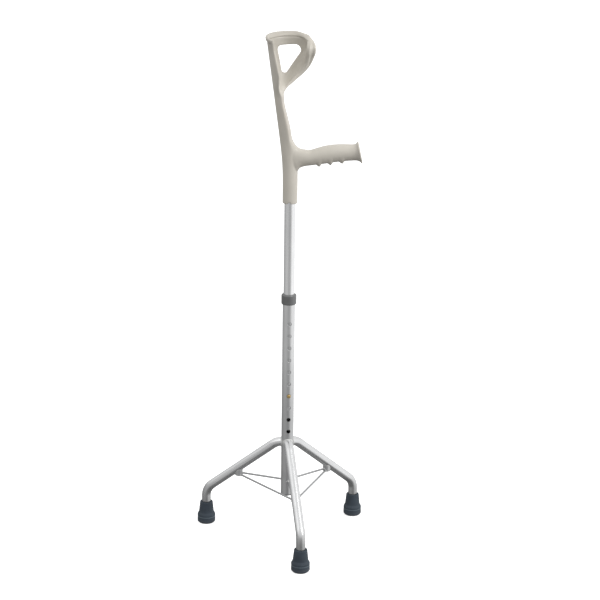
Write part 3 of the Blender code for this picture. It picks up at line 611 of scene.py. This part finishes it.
for side, angle in legs[1:]:
    height = over_lug(angle)[2] - TIE_DROP
    start = outward(FRONT_LEG_ANGLE, LUG_REACH, height)
    end = outward(angle, LUG_REACH, height)
    back = unit(end - start) * (LUG_RADIUS - SUNK)
    tie = rod_piece(f"tie_rod_{side}_bar", start + back, end - back)
    fit(tie, "base", "brace", bar_finish, f"tie_rod_{side}")
    for end_name, post, way in (("front", start, 1), ("far", end, -1)):
        weld(f"weld_tie_{side}_{end_name}", post, way * (end - start), ROD_RADIUS,
             UP, LUG_RADIUS, *ROD_WELD)


# Rubber ferrules and their washers. Each foot is one slate rubber moulding pushed on the leg: a
# long neck, a flared shoulder, a deep band with a raised ring, and rings under the sole.
FERRULE_BORE = LEG_RADIUS + PUSH_GAP
# Corners of the half section in millimetres, from the sole's middle out over its two grooves and
# up the side into the bore: radius, height and fillet
FERRULE_CORNERS = (
    (0, 0, 0), (3.14, 0, 0.25), (3.14, 1.2, 0.3), (6.28, 1.2, 0.3), (6.28, 0, 0.25),
    (9.42, 0, 0.25), (9.42, 1.2, 0.3), (12.56, 1.2, 0.3), (12.56, 0, 0.25),
    (15.7, 0, 1.4), (18.7, 3.2, 2.2), (18.7, 11.2, 0.5), (18.45, 11.7, 0.4), (18.45, 12.9, 0.3),
    (18.7, 13.3, 0.35), (18.7, 18.4, 1.3), (15.7, 23.6, 2.2), (13.4, 45.2, 1.0),
    (12.7, 46.5, 0.7), (FERRULE_BORE / MM, 46.5, 0.5), (FERRULE_BORE / MM, 10, 0.4), (0, 10, 0),
)


def slate_rubber(name, shift):
    """Slate rubber: a dull grain, paler edges, a painted highlight on the raised ring, floor dust, a
    mould line.
    """
    page = Page(name)
    lay = page.stock_place()
    place = page.moved(lay, (shift, 0, 0))
    x, y, z = page.parts(lay)
    grain = page.noise(place, 1900.0, 3.0, 0.65)
    scuff = page.noise(place, 240.0, 3.0, 0.6)
    bloom = page.noise(place, 45.0, 3.0, 0.6)
    edge = page.proud().step(0.53, 0.60)
    dust = z.step(14 * MM, 1 * MM) * (0.25 + 0.75 * scuff.step(0.35, 0.7))
    # Painted highlight: the raised ring's band is painted paler, as where light catches it.
    ring = z.step(13.0 * MM, 13.4 * MM) * z.step(15.6 * MM, 15.0 * MM)
    seam = (y * y).step(0.045 * MM * MM, 0.0) * x.step(0.0, 1 * MM)
    shade = page.mix(bloom.step(0.3, 0.7), (0.019, 0.030, 0.043), (0.028, 0.042, 0.059))
    shade = page.mix(edge * 0.35, shade, (0.085, 0.115, 0.14))
    shade = page.mix(ring * 0.55, shade, (0.13, 0.17, 0.20))
    shade = page.mix(dust * 0.22, shade, (0.20, 0.20, 0.19))
    gloss = 0.62 + grain * 0.16 + dust * 0.1
    relief = grain * 0.4 + scuff * 0.4 + seam * 1.6
    return page.finished(shade, gloss, relief, 0.07 * MM, 0.6, {"Specular IOR Level": 0.6})


def bright_steel(name, tone, rough):
    """Zinc plated or spring steel: a fine crossed grain and faint darker stains."""
    page = Page(name)
    place = page.object_place()
    grain = page.noise(place, (1800, 1800, 140), 3.0, 0.6)
    stain = page.noise(place, 190.0, 3.0).step(0.45, 0.75)
    shade = page.mix(stain * 0.4, tone, 0.7 * np.array(tone))
    gloss = rough + (grain - 0.5) * 0.14 + stain * 0.12
    return page.finished(shade, gloss, grain, 0.008 * MM, 0.8, {"Metallic": 1.0})


ferrule_table = np.array(FERRULE_CORNERS)
ferrule_section = filleted(ferrule_table[:, :2] * MM, ferrule_table[1:-1, 2] * MM, 5)
zinc = bright_steel("zinc_plate", (0.62, 0.63, 0.64), 0.30)
for k, (side, angle) in enumerate(legs):
    foot = outward(angle, FOOT_REACH, 0)
    ferrule = turned_piece(f"ferrule_{side}_moulded", ferrule_section, 112, foot)
    rubber = slate_rubber(f"ferrule_{side}_rubber", 0.4 * k)
    fit(ferrule, "base", "ferrule", rubber, f"ferrule_{side}")
    coat(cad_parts[f"washer_{side}"], zinc)


# Collar. A charcoal plastic bush over the column's top end; its lip guides the upper tube.
COLLAR_RADIUS = 15.2 * MM
COLLAR_HEIGHT = 21 * MM
COLLAR_LIP = 4.2 * MM
SLIDE_CLEARANCE = 0.3 * MM
UPPER_RADIUS = COLUMN_RADIUS - COLUMN_WALL - SLIDE_CLEARANCE
collar_bore = COLUMN_RADIUS + PUSH_GAP
lip_bore = UPPER_RADIUS + SLIDE_CLEARANCE
collar_step = COLUMN_TOP + PUSH_GAP
collar_top = collar_step + COLLAR_LIP
collar_middle, collar_foot = collar_top - COLLAR_HEIGHT / 2, collar_top - COLLAR_HEIGHT
collar_section = [
    (collar_bore, collar_middle), (collar_bore, collar_foot), (COLLAR_RADIUS, collar_foot),
    (COLLAR_RADIUS, collar_top), (lip_bore, collar_top), (lip_bore, collar_step),
    (collar_bore, collar_step), (collar_bore, collar_middle + MM),
]
collar_rounds = np.array([0.4, 2.2, 3.2, 0.4, 0.3, 0.3]) * MM
collar = turned_piece("collar_moulded", filleted(collar_section, collar_rounds, 10))
fit(collar, "base", "dark_plastic", charcoal, "collar")


# Upper tube. The thinner aluminium tube that slides in the column and carries the handle. One
# hole lets the button out, and the collar has worn fine lines along it.
UPPER_WALL = 1.2 * MM
UPPER_TAIL = 38 * MM
BUTTON_HOLE = 6
GRIP_Z = 797 * MM
TUBE_ABOVE_GRIP = 3 * MM
button_z = TOP_HOLE_Z - BUTTON_HOLE * HOLE_PITCH
upper_ends = button_z - UPPER_TAIL, GRIP_Z + TUBE_ABOVE_GRIP
upper = drilled_tube("upper_drawn", UPPER_RADIUS, UPPER_WALL, *upper_ends, [button_z])
# Painted shade darkens the upper tube where it lies inside the column.
upper_finish = drawn_aluminium(
    "upper_aluminium", 0.90, 5.2, worn=0.6, low_shade=0.6, spread=(COLUMN_TOP, COLUMN_TOP - 15 * MM)
)
fit(upper, "upper", "tube", upper_finish, "upper_tube")


# Snap button and its spring. A turned brass button with a domed end stands out of the two tubes'
# holes. A bent leaf of spring steel inside the upper tube pushes it out.
BUTTON_CLEARANCE = 0.3 * MM
BUTTON_PROUD = 2.9 * MM
BUTTON_DOME = 1.3 * MM
BUTTON_EASE = 0.2 * MM
SPRING_WIDTH = 8.6 * MM
LATHE_RINGS = 21000.0
button_radius = HOLE_RADIUS - BUTTON_CLEARANCE
button_tip = COLUMN_RADIUS + BUTTON_PROUD
button_foot = math.sqrt((UPPER_RADIUS - UPPER_WALL) ** 2 - (SPRING_WIDTH / 2) ** 2)
dome = np.linspace(0, math.pi / 2, 14)
button_section = np.concatenate([
    [(0, button_foot), (button_radius - BUTTON_EASE, button_foot)],
    [(button_radius, button_foot + BUTTON_EASE)],
    np.stack([button_radius * np.cos(dome) ** 0.8, button_tip - BUTTON_DOME * (1 - np.sin(dome))],
             axis=1),
])
c, s = math.cos(FRONT_LEG_ANGLE), math.sin(FRONT_LEG_ANGLE)
lying = [[0, 0, -1], [-s, c, 0], [c, s, 0]]


def polished_brass(name):
    """Turned brass, polished and a little tarnished, with the ring marks of the lathe."""
    page = Page(name)
    lay = page.stock_place()
    x, y, _ = page.parts(lay)
    reach = (x * x + y * y) ** 0.5
    rings = page.add("ShaderNodeMath", {"operation": "SINE"}, {0: reach * LATHE_RINGS})
    tarnish = page.noise(lay, 320.0, 3.0, 0.6).step(0.4, 0.75)
    shade = page.mix(tarnish * 0.6, (0.66, 0.47, 0.20), (0.34, 0.22, 0.09))
    relief = rings * 0.3 + tarnish * 0.3
    return page.finished(shade, 0.24 + tarnish * 0.16, relief, 0.008 * MM, 0.5, {"Metallic": 1.0})


button = turned_piece("snap_button_turned", button_section, 64, (0, 0, button_z), lying)
fit(button, "button", "button", polished_brass("button_brass"), "snap_button")
coat(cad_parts["button_spring"], bright_steel("spring_strip", (0.60, 0.61, 0.62), 0.22))


# Handle. Sleeve, grip, stem and forearm cuff are one warm grey moulding, pressed and bonded on the
# upper tube. The cuff is an open shell with a flange down its right edge, a rolled top rim and a
# window in its far wall. The grip has three finger ribs and an end flange.
# All in millimetres but VOXEL, from the grip's axis where it crosses the column's.
SLEEVE_RADIUS = 14.75
SLEEVE_DROP = 90.4
NOTCH_WIDTH = 6.0
NOTCH_HEIGHT = 3.2
NOTCH_ANGLE = math.radians(-97)
CUFF_WALL = 3.6
CUFF_LIP = 1.4
CUFF_LIP_WIDTH = 8.0
CUFF_EDGE_LIP = 5.0
CUFF_GROOVE = 1.3
CUFF_EDGE = 2.6
CUFF_BEND = 1.0
CUFF_FLARE = 7.5
CUFF_TOP = 236.5
CUFF_TILT_FAR = 4.6
CUFF_DROP_FRONT = 4.0
STEM_LEAN = 0.1376
STEM_BACK_AT_GRIP = 16.3
STEM_RIDGE = 0.30
STEM_SHEAR = 0.5
FLANGE_RADIUS = 21.4
FLANGE_REACH = 134.5
FLANGE_THICKNESS = 2.6
FLANGE_ROUND = 1.3
FLANGE_TILT = math.radians(12)
RIB_HEIGHT = 4.8
RIB_WIDTH = 10.5
RIB_PITCH = 22.2
FIRST_RIB = 55.5
RIB_HOOK = 0.3
GRIP_NECK = 124.0
GRIP_NECK_RADIUS = 16.0
GRIP_END_RISE = 12.8
VOXEL = 1.04 * MM
# Across the cuff's flange: height or depth, where its middle lies and its half width
BEND_BEAD = (1.6, -3.4, 1.5)
EDGE_FURROW = (1.1, 1.4, 1.2)
BEND_GROOVE = (1.0, 0.0, 1.3)
# Up the stem and cuff: height, half width, half depth, near left and right ends of the section
# in degrees, how far it is hollow, width of the flange
CUFF_STATIONS = np.array([
    (120, 9.8, 14.75, 262, 22, 0, 0), (126, 10.1, 15.4, 259, 30, 0.06, 2),
    (132, 12.0, 17.4, 254, 38, 0.26, 4), (139, 15.8, 21.0, 248, 42, 0.57, 5.5),
    (146, 21.8, 25.8, 243, 42, 0.83, 6.5), (154, 28.4, 31.0, 239, 43, 0.96, 8),
    (163, 35.5, 35.5, 236, 43, 1, 9), (178, 42.0, 40.5, 230, 36, 1, 11),
    (195, 45.0, 44.0, 226, 24, 1, 14), (210, 46.8, 45.8, 223, 13, 1, 16),
    (218, 47.4, 46.3, 222, 13, 1, 15), (224, 47.8, 46.6, 222, 20, 1, 12.5),
    (230, 48.1, 46.8, 222, 33, 1, 8), (236.5, 48.4, 47.0, 222, 50, 1, 3),
])
# Up the sleeve and stem: height and where the front lies
FRONT_STATIONS = np.array([
    (-20, 14.75), (20, 12.0), (39, 3.2), (58, -0.1), (75, -4.2), (91, -8.4), (106, -12.1),
    (120, -13.3),
])
# Along the grip: reach, top, bottom and half width
GRIP_STATIONS = np.array([
    (-6, 44, -38, 13.0), (1, 42, -34, 13.6), (8, 29, -31, 14.0), (12, 24.4, -29, 14.2),
    (15, 21.6, -24.8, 14.3), (18, 19.8, -20.6, 14.5), (22, 18.4, -18.0, 14.7),
    (28, 17.4, -16.0, 14.9), (40, 17.0, -14.2, 15.4), (48, 19.5, -13.0, 15.8),
    (66, 24.9, -10.6, 16.2), (88, 28.2, -6.9, 16.2), (108, 28.9, -4.4, 15.8), (120, 28.6, -3.4, 15.6),
])
# Corners of the window from the side: reach, height and radius
WINDOW_CORNERS = np.array([
    (-28.5, 215.0, 7), (15.5, 217.0, 11), (18.5, 204.0, 9), (-11.0, 162.0, 5), (-18.5, 164.5, 5),
])


def smooth_curve(x, stations, column):
    """A curve of cubics through one column of a table, flat past its ends."""
    xs, ys = stations[:, 0], stations[:, column]
    slopes = np.gradient(ys, xs)
    x = np.clip(x, xs[0], xs[-1])
    k = np.clip(np.searchsorted(xs, x) - 1, 0, len(xs) - 2)
    h = xs[k + 1] - xs[k]
    t = (x - xs[k]) / h
    rise = ys[k] * (1 + 2 * t) * (1 - t) ** 2 + ys[k + 1] * t**2 * (3 - 2 * t)
    return rise + h * t * (1 - t) * (slopes[k] * (1 - t) - slopes[k + 1] * t)


def ease(x, low, high):
    """A smooth step, 3 t^2 - 2 t^3, from 0 at low to 1 at high."""
    t = np.clip((x - low) / (high - low), 0, 1)
    return t * t * (3 - 2 * t)


def soft_over(x, width):
    """About 0 below 0 and about x above it, rounded over a width: width ln(1 + e^(x / width))."""
    return width * np.logaddexp(0, x / width)


def hump(x, height, middle, width):
    """A soft ridge: height e^-((x - middle) / width)^2."""
    return height * np.exp(-(((x - middle) / width) ** 2))


def back_line(up):
    """Where the moulding's back lies: the stem's leaning line or the sleeve's, the further one."""
    lean = STEM_BACK_AT_GRIP + STEM_LEAN * up
    return -(SLEEVE_RADIUS + soft_over(lean - SLEEVE_RADIUS, 2.0))


def stem_sections(up, share):
    """Rounded level sections of the sleeve and stem, the outer half and then the inner half.

    x = middle + half width |cos a|^q and y = depth |sin a|^q with their signs, where q rises from
    1 on the round sleeve, so that a soft ridge runs up each side of the stem. A share of sin^2 a
    moves the ridges towards the front.
    """
    back = back_line(up)
    cuffed = up > CUFF_STATIONS[0, 0]
    front = smooth_curve(up, FRONT_STATIONS, 1)
    front = np.where(cuffed, back + 2 * smooth_curve(up, CUFF_STATIONS, 1), front)
    depth = np.where(cuffed, smooth_curve(up, CUFF_STATIONS, 2), SLEEVE_RADIUS)
    first, last = np.radians(CUFF_STATIONS[0, 3:5])
    gap = math.radians(1.0)
    rest = 2 * math.pi - (first - last) - 2 * gap
    outer = first + share * (last - first)
    inner = last - gap - (1 - share) * rest
    angles = np.concatenate([outer, inner[:, ::-1]], axis=1)
    ridged = ease(up, 2, 45) * (1 - ease(up, 118, 146))
    power = 1 + STEM_RIDGE * ridged
    cos, sin = (np.sign(f(angles)) * np.abs(f(angles)) ** power for f in (np.cos, np.sin))
    cos = cos + STEM_SHEAR * ridged * sin**2
    return np.stack([(back + front) / 2 + (front - back) / 2 * cos, depth * sin], axis=-1)


def cuff_sections(up, share, length):
    """C-shaped level sections of the cuff, open to the near side.

    A middle line runs round an ellipse from the near left edge to the flange's bend, and then
    straight out along the flange. Near the top it flares. The wall stands half its thickness to
    each side of that line, thicker along the rims and rounded off at the very edge. A groove runs
    under the top lip and down the bend, with a bead and a furrow beside it.
    """
    half, depth, first, last, _, flange = (smooth_curve(up, CUFF_STATIONS, k) for k in range(1, 7))
    first, last = np.radians(first), np.radians(last)
    from_right = (1 - share) * length
    behind = soft_over(from_right - flange, CUFF_BEND)
    out = soft_over(flange - from_right, CUFF_BEND)
    angles = last + (first - last) * behind / behind[:, :1]
    flare = soft_over(CUFF_FLARE - (CUFF_TOP - up), CUFF_BEND)
    flare = flare * (1 - ease(np.degrees(angles), 120, 200))
    reach = ((out * (1 + CUFF_WALL / 2 / np.maximum(flange, 1))) ** 4 + flare**4) ** 0.25
    shift = reach - flange * (1 - ease(behind, 0, 36)) - CUFF_WALL / 2
    x = back_line(up) + half + (half + shift) * np.cos(angles)
    line = np.stack([x, (depth + shift) * np.sin(angles)], axis=-1)
    run = unit(-np.gradient(line, axis=1))
    normal = np.stack([run[..., 1], -run[..., 0]], axis=-1)
    beside = np.minimum(share * length, from_right)
    near_edge = np.minimum(beside, CUFF_TOP - up)
    below = CUFF_TOP - up - CUFF_LIP_WIDTH + 0 * from_right
    beside = beside - CUFF_EDGE_LIP
    lip = CUFF_LIP * (1 - ease(below, -1.4, 0))
    lip = np.maximum(lip, 0.7 * CUFF_LIP * (1 - ease(beside, -1.8, 0)))
    bend = from_right - flange
    lip = lip + hump(bend, *BEND_BEAD) * (1 - ease(-below, -2, 2))
    lip = lip - hump(beside, *EDGE_FURROW) * (bend < 0) * ease(below, -1.5, 0.5)
    under = ease(below, -0.8, 0.4) * (1 - ease(below, 0.6, 2.6)) * ease(bend, -2, 0)
    groove = np.maximum(under, hump(bend, *BEND_GROOVE) * ease(below, -1.5, 0.5))
    lip = lip - CUFF_GROOVE * groove * ease(beside, 0, 3)
    t = np.clip(near_edge / CUFF_EDGE, 0, 1)
    thick = (CUFF_WALL / 2 + lip) * np.sqrt(np.clip(1 - (1 - t) ** 2, 0.06, 1))
    offset = normal * thick[..., None]
    return np.concatenate([line + offset, (line - offset)[:, ::-1]], axis=1)


def handle_body():
    """Sleeve, stem and cuff as one grid of level sections, each the stem's and the cuff's mixed."""
    heights = [np.linspace(-SLEEVE_DROP, 0, 24), np.linspace(4, CUFF_STATIONS[0, 0], 48)]
    heights += [np.linspace(121.5, CUFF_TOP - 20, 70), CUFF_TOP - np.linspace(19, 3, 22)]
    heights += [CUFF_TOP - 3 * np.linspace(0.93, 0, 14) ** 2]
    up = np.concatenate(heights)[:, None]
    t = np.linspace(0, 1, 150)
    share = (0.5 - 0.5 * np.cos(np.pi * t)) * 0.8 + 0.2 * t + 0 * up
    half, _, first, last, hollow, flange = (smooth_curve(up, CUFF_STATIONS, k) for k in range(1, 7))
    length = half * np.radians(first - last) + flange
    flat = stem_sections(up, share) * (1 - hollow[..., None])
    flat = flat + cuff_sections(up, share, length) * hollow[..., None]
    rise = CUFF_TILT_FAR * flat[..., 1] / CUFF_STATIONS[-1, 2]
    rise = rise - CUFF_DROP_FRONT * ease(flat[..., 0] / CUFF_STATIONS[-1, 1], 0.1, 0.75)
    z = up + rise * ease(up, CUFF_STATIONS[4, 0], CUFF_TOP)
    points = np.stack([flat[..., 0], flat[..., 1], z], axis=-1) * MM + [0, 0, GRIP_Z]
    count = points.shape[1]
    i = np.arange(count // 2 - 1)
    strip = np.stack([i, i + 1, count - 2 - i, count - 1 - i], axis=1)
    faces = np.concatenate([ring_quads(len(up), count), strip, strip + (len(up) - 1) * count])
    return points, faces


def grip_body(sides=88):
    """The grip as upright rings along +X, closed by a pole at each end.

    z runs between the top and bottom curves with sin a, y is half width times cos a. A rib hangs
    below by cos(90 deg t)^1.3, t being 0 at its crest and 1 at its feet, with the crest set back
    from its middle. The rings lean towards the end flange.
    """
    x = np.linspace(-6, 120, 180)
    top, bottom, wide = (smooth_curve(x, GRIP_STATIONS, k) for k in (1, 2, 3))
    share = np.linspace(0, 1, 22)
    flare = GRIP_NECK_RADIUS + (FLANGE_RADIUS - GRIP_NECK_RADIUS) * share**2.2
    reach = GRIP_NECK + (FLANGE_REACH - GRIP_NECK) * (1 - (1 - share) ** 1.4)
    turn = np.linspace(0, np.pi / 2, 9)[1:]
    lip = FLANGE_RADIUS - FLANGE_ROUND * (1 - np.cos(turn))
    beyond = FLANGE_REACH + FLANGE_THICKNESS / 2 + FLANGE_ROUND * np.sin(turn)
    face = np.array([0.8, 0.5, 0.0]) * lip[-1]
    x = np.concatenate([x, reach, beyond, np.full(3, beyond[-1])])
    end = np.concatenate([flare, lip, face])
    top = np.concatenate([top, GRIP_END_RISE + end])
    bottom = np.concatenate([bottom, GRIP_END_RISE - end])
    wide = np.concatenate([wide, end])
    rib = 0
    for k in range(3):
        t = (x - FIRST_RIB - k * RIB_PITCH) / (RIB_WIDTH / 2)
        t = (t - RIB_HOOK) / np.where(t < RIB_HOOK, 1 + RIB_HOOK, 1 - RIB_HOOK)
        rib = rib + RIB_HEIGHT * np.cos(np.pi / 2 * np.minimum(np.abs(t), 1)) ** 1.3
    a = whole_turn(sides)
    middle = (top + bottom) / 2
    down = np.clip(-np.sin(a), 0, 1) ** 1.5
    z = middle[:, None] + (top - bottom)[:, None] / 2 * np.sin(a) - rib[:, None] * down
    lean = math.tan(FLANGE_TILT) * ease(x, GRIP_NECK - 30, FLANGE_REACH)
    x_leant = x[:, None] - lean[:, None] * (z - middle[:, None])
    points = np.stack([x_leant, wide[:, None] * np.cos(a), z], axis=-1)
    first = np.array([[x[0], 0, middle[0]]]) + np.zeros((sides, 1))
    points = np.concatenate([first[None], points]) * MM + [0, 0, GRIP_Z]
    return points, ring_quads(len(points), sides)


def prism(outline, low, high, frame_of):
    """An outline carried from low to high and shut by flat ends, in a frame of its own."""
    x, y = outline.T
    ends = np.array([low, high])[:, None]
    points = np.stack([x + 0 * ends, y + 0 * ends, ends + 0 * x], axis=-1)
    middles = points.mean(axis=1, keepdims=True) + 0 * points
    points = np.concatenate([middles, points])[[0, 2, 3, 1]]
    return points @ np.array(frame_of, float), ring_quads(4, len(outline))


def handle_shape(name):
    """The whole moulding: the two bodies joined, bored, windowed and notched, then skinned afresh.

    The fresh skin is a fine even mesh, smoothed a little, so inner corners have a moulding's small
    fillets and edges its small rounds.
    """
    handle = solid_piece(name, *handle_body())
    bore = UPPER_RADIUS + PUSH_GAP
    low, high = GRIP_Z - (SLEEVE_DROP + 10) * MM, GRIP_Z + TUBE_ABOVE_GRIP + PUSH_GAP
    a = whole_turn(96)
    ring = bore * np.stack([np.cos(a), np.sin(a)], axis=1)
    seam = WINDOW_CORNERS[[-1, 0]].mean(axis=0, keepdims=True)
    corners = np.concatenate([seam, WINDOW_CORNERS, seam])
    window = filleted(corners[:, :2], corners[1:-1, 2], 8)[:-1] * MM + [0, GRIP_Z]
    w = NOTCH_WIDTH / 2
    foot, top = -SLEEVE_DROP - w, -SLEEVE_DROP + NOTCH_HEIGHT
    notch = [(0, foot), (w, foot), (w, top), (-w, top), (-w, foot), (0, foot)]
    notch = filleted(notch, [0.3, w * 0.6, w * 0.6, 0.3], 5)[:-1] * MM + [0, GRIP_Z]
    c, s = math.cos(NOTCH_ANGLE), math.sin(NOTCH_ANGLE)
    tools = [
        ("UNION", grip_body()),
        ("DIFFERENCE", prism(ring, low, high, np.eye(3))),
        ("DIFFERENCE", prism(window, 6 * MM, 70 * MM, [[1, 0, 0], [0, 0, 1], [0, 1, 0]])),
        ("DIFFERENCE", prism(notch, 5 * MM, 22 * MM, [[-s, c, 0], [0, 0, 1], [c, s, 0]])),
    ]
    for operation, shape in tools:
        cut = handle.modifiers.new("cut", "BOOLEAN")
        cut.operation = operation
        cut.solver = "EXACT"
        cut.object = solid_piece("cutter", *shape)
    skin = handle.modifiers.new("skin", "REMESH")
    skin.mode = "VOXEL"
    skin.voxel_size = VOXEL
    polish = handle.modifiers.new("polish", "SMOOTH")
    polish.iterations = 5
    bpy.context.view_layer.update()
    finished = handle.evaluated_get(bpy.context.evaluated_depsgraph_get())
    shaped = bpy.data.meshes.new_from_object(finished)
    for cut in handle.modifiers[: len(tools)]:
        bpy.data.objects.remove(cut.object)
    handle.modifiers.clear()
    handle.data = shaped
    shaped.shade_smooth()
    return handle


def handle_plastic(name):
    """Warm grey moulded plastic.

    A sparked grain with soft flow clouds, a polished grip top, painted shade on the cuff's top rim,
    painted shade in hollows, and a fine raised line in the grip's plane where the mould's halves met.
    """
    page = Page(name)
    place = page.object_place()
    x, y, z = page.parts(page.moved(place, tuple(-AXIS - [0, 0, GRIP_Z])))
    proud = page.proud()
    grain = page.noise(place, 1500.0, 3.0, 0.6)
    fine = page.noise(place, 3600.0, 1.0)
    cloud = page.noise(place, 18.0, 3.0, 0.5)
    rubbed = page.noise(place, 55.0, 3.0, 0.6).step(0.4, 0.7)
    gripped = x.step(20 * MM, 40 * MM) * z.step(2 * MM, 22 * MM) * z.step(60 * MM, 50 * MM)
    seam = (y * y).step(0.06 * MM * MM, 0.0) * z.step(118 * MM, 112 * MM)
    # Painted shade in hollows, such as the groove under the cuff's lip and between the finger ribs.
    hollow_shade = proud.step(0.475, 0.435)
    edge = proud.step(0.53, 0.60)
    shade = page.mix(cloud.step(0.3, 0.7), (0.495, 0.466, 0.412), (0.535, 0.505, 0.448))
    # Painted shade: the cuff's top rim is painted darker, and the painted shade in its hollows
    # deeper.
    rim = z.step(196 * MM, 226 * MM) * x.step(34 * MM, 8 * MM)
    shade = page.mix(rim * 0.55, shade, (0.37, 0.345, 0.30))
    shade = page.mix(hollow_shade * (0.5 + 0.4 * rim), shade, (0.28, 0.25, 0.20))
    shade = page.mix(edge * 0.25, shade, (0.60, 0.57, 0.50))
    shade = page.mix(grain.step(0.55, 0.8) * 0.06, shade, (0.38, 0.35, 0.29))
    gloss = 0.38 + (grain - 0.5) * 0.12 - rubbed * 0.05 - gripped * 0.06
    relief = grain * 0.7 + fine * 0.3 + seam * 3.0
    return page.finished(shade, gloss, relief, 0.02 * MM, 0.8, {"Specular IOR Level": 0.5})


handle = handle_shape("handle_moulded")
fit(handle, "upper", "moulding", handle_plastic("handle_plastic"), "handle_moulding")


# Studio. A white paper sweep that only the camera sees, a room that is brighter to the right and
# overhead and dark below, four soft lamps of which metal mirrors two, and a long lens as far off
# as the photograph's.
FLOOR_REACH = 30.0
FLOOR_TURN = 6.0
FLOOR_DROP = 0.2 * MM
FLOOR_SIDES = 160
LENS_PIXELS = 1794.917
CAMERA_FROM_AXIS = (0.022286, -3.451827, 1.508524)
CAMERA_PITCH = 0.282189
CAMERA_ROLL = 0.0127969
LAMP_WIDTH = 1.4
LAMP_HEIGHT = 2.2
LAMP_DISTANCE = 2.6
LAMP_AIM = AXIS + [0, 0, 0.6]
# Name, direction it stands in, watts, and whether metal mirrors it
LAMPS = (
    ("key_lamp", (0.72, -0.38, 0.58), 22, True), ("fill_lamp", (-0.75, -0.35, 0.56), 4, True),
    ("low_lamp", (0.92, -0.30, 0.26), 12, False), ("top_lamp", (0.30, -0.30, 0.90), 8, False),
)
turn = np.linspace(0, np.pi / 2, 24)
paper_section = np.concatenate([
    [(0, 0), (1, 0), (6, 0), (15, 0)],
    np.stack([FLOOR_REACH + FLOOR_TURN * np.sin(turn), FLOOR_TURN * (1 - np.cos(turn))], axis=1),
    [(FLOOR_REACH + FLOOR_TURN, 40)],
])
points = turned(*paper_section.T, whole_turn(FLOOR_SIDES)) - AXIS - [0, 0, FLOOR_DROP]
paper = solid_piece("paper_sweep", points, ring_quads(len(paper_section), FLOOR_SIDES))
page = Page("white_paper")
fibre = page.noise(page.object_place(), 60.0, 3.0)
page.join(page.shader, {
    "Base Color": page.mix(fibre, (0.80, 0.80, 0.80), (0.84, 0.84, 0.84)),
    "Roughness": 0.9,
    "Specular IOR Level": 0.0,
    "Emission Color": (1, 1, 1, 1),
    "Emission Strength": 0.62,
})
coat(paper, page.finish)
paper.visible_diffuse = paper.visible_glossy = paper.visible_shadow = False

world = bpy.data.worlds.new("studio")
bpy.context.scene.world = world
room = Page("studio", world)
x, y, z = room.parts(room.add("ShaderNodeTexCoord", output="Generated"))
level = (x * x + y * y + 0.0001) ** 0.5
east, north = x / level, y / level


def lobe(azimuth, full, faded):
    """A soft patch of the room round an azimuth, in degrees to the right of the camera's side."""
    azimuth, full, faded = np.radians([azimuth, full, faded])
    towards = east * math.sin(azimuth) - north * math.cos(azimuth)
    return towards.step(math.cos(faded), math.cos(full))


walls = 0.42 + 0.64 * lobe(97, 34, 76) + 0.13 * lobe(-52, 8, 48)
overhead = z.step(0.02, 0.45)
under = z.step(-0.36, -0.74)
light = walls * (1 - overhead) + 0.95 * overhead
light = light * (1 - under) + 0.20 * under
room.join(room.tree.nodes["Background"], {"Color": (1, 1, 1, 1), "Strength": light})


def aim(thing, place, right, up):
    """Stands a lamp or camera at a place, with its right and up directions given."""
    back = np.cross(right, up)
    for k in range(3):
        thing.matrix_world[k][:] = (right[k], up[k], back[k], place[k])


for lamp_name, towards, watts, mirrored in LAMPS:
    lamp = bpy.data.lights.new(lamp_name, "AREA")
    lamp.shape = "RECTANGLE"
    lamp.size = LAMP_WIDTH
    lamp.size_y = LAMP_HEIGHT
    lamp.energy = watts
    lamp_stand = placed(lamp_name, lamp)
    back = unit(np.array(towards))
    right = unit(np.cross(UP, back))
    aim(lamp_stand, LAMP_AIM + LAMP_DISTANCE * back, right, np.cross(back, right))
    lamp_stand.visible_glossy = mirrored

rightward = np.array([1.0, 0, 0])
view_up = np.array([0, math.sin(CAMERA_PITCH), math.cos(CAMERA_PITCH)])
roll_c, roll_s = math.cos(CAMERA_ROLL), math.sin(CAMERA_ROLL)
camera = bpy.data.cameras.new("camera")
camera.sensor_width = 36
camera.lens = LENS_PIXELS * 36 / 600
camera.clip_end = 200
camera_stand = placed("camera", camera)
aim(camera_stand, AXIS + CAMERA_FROM_AXIS, roll_c * rightward + roll_s * view_up,
    roll_c * view_up - roll_s * rightward)
bpy.context.scene.camera = camera_stand
bpy.context.scene.view_settings.view_transform = "Standard"
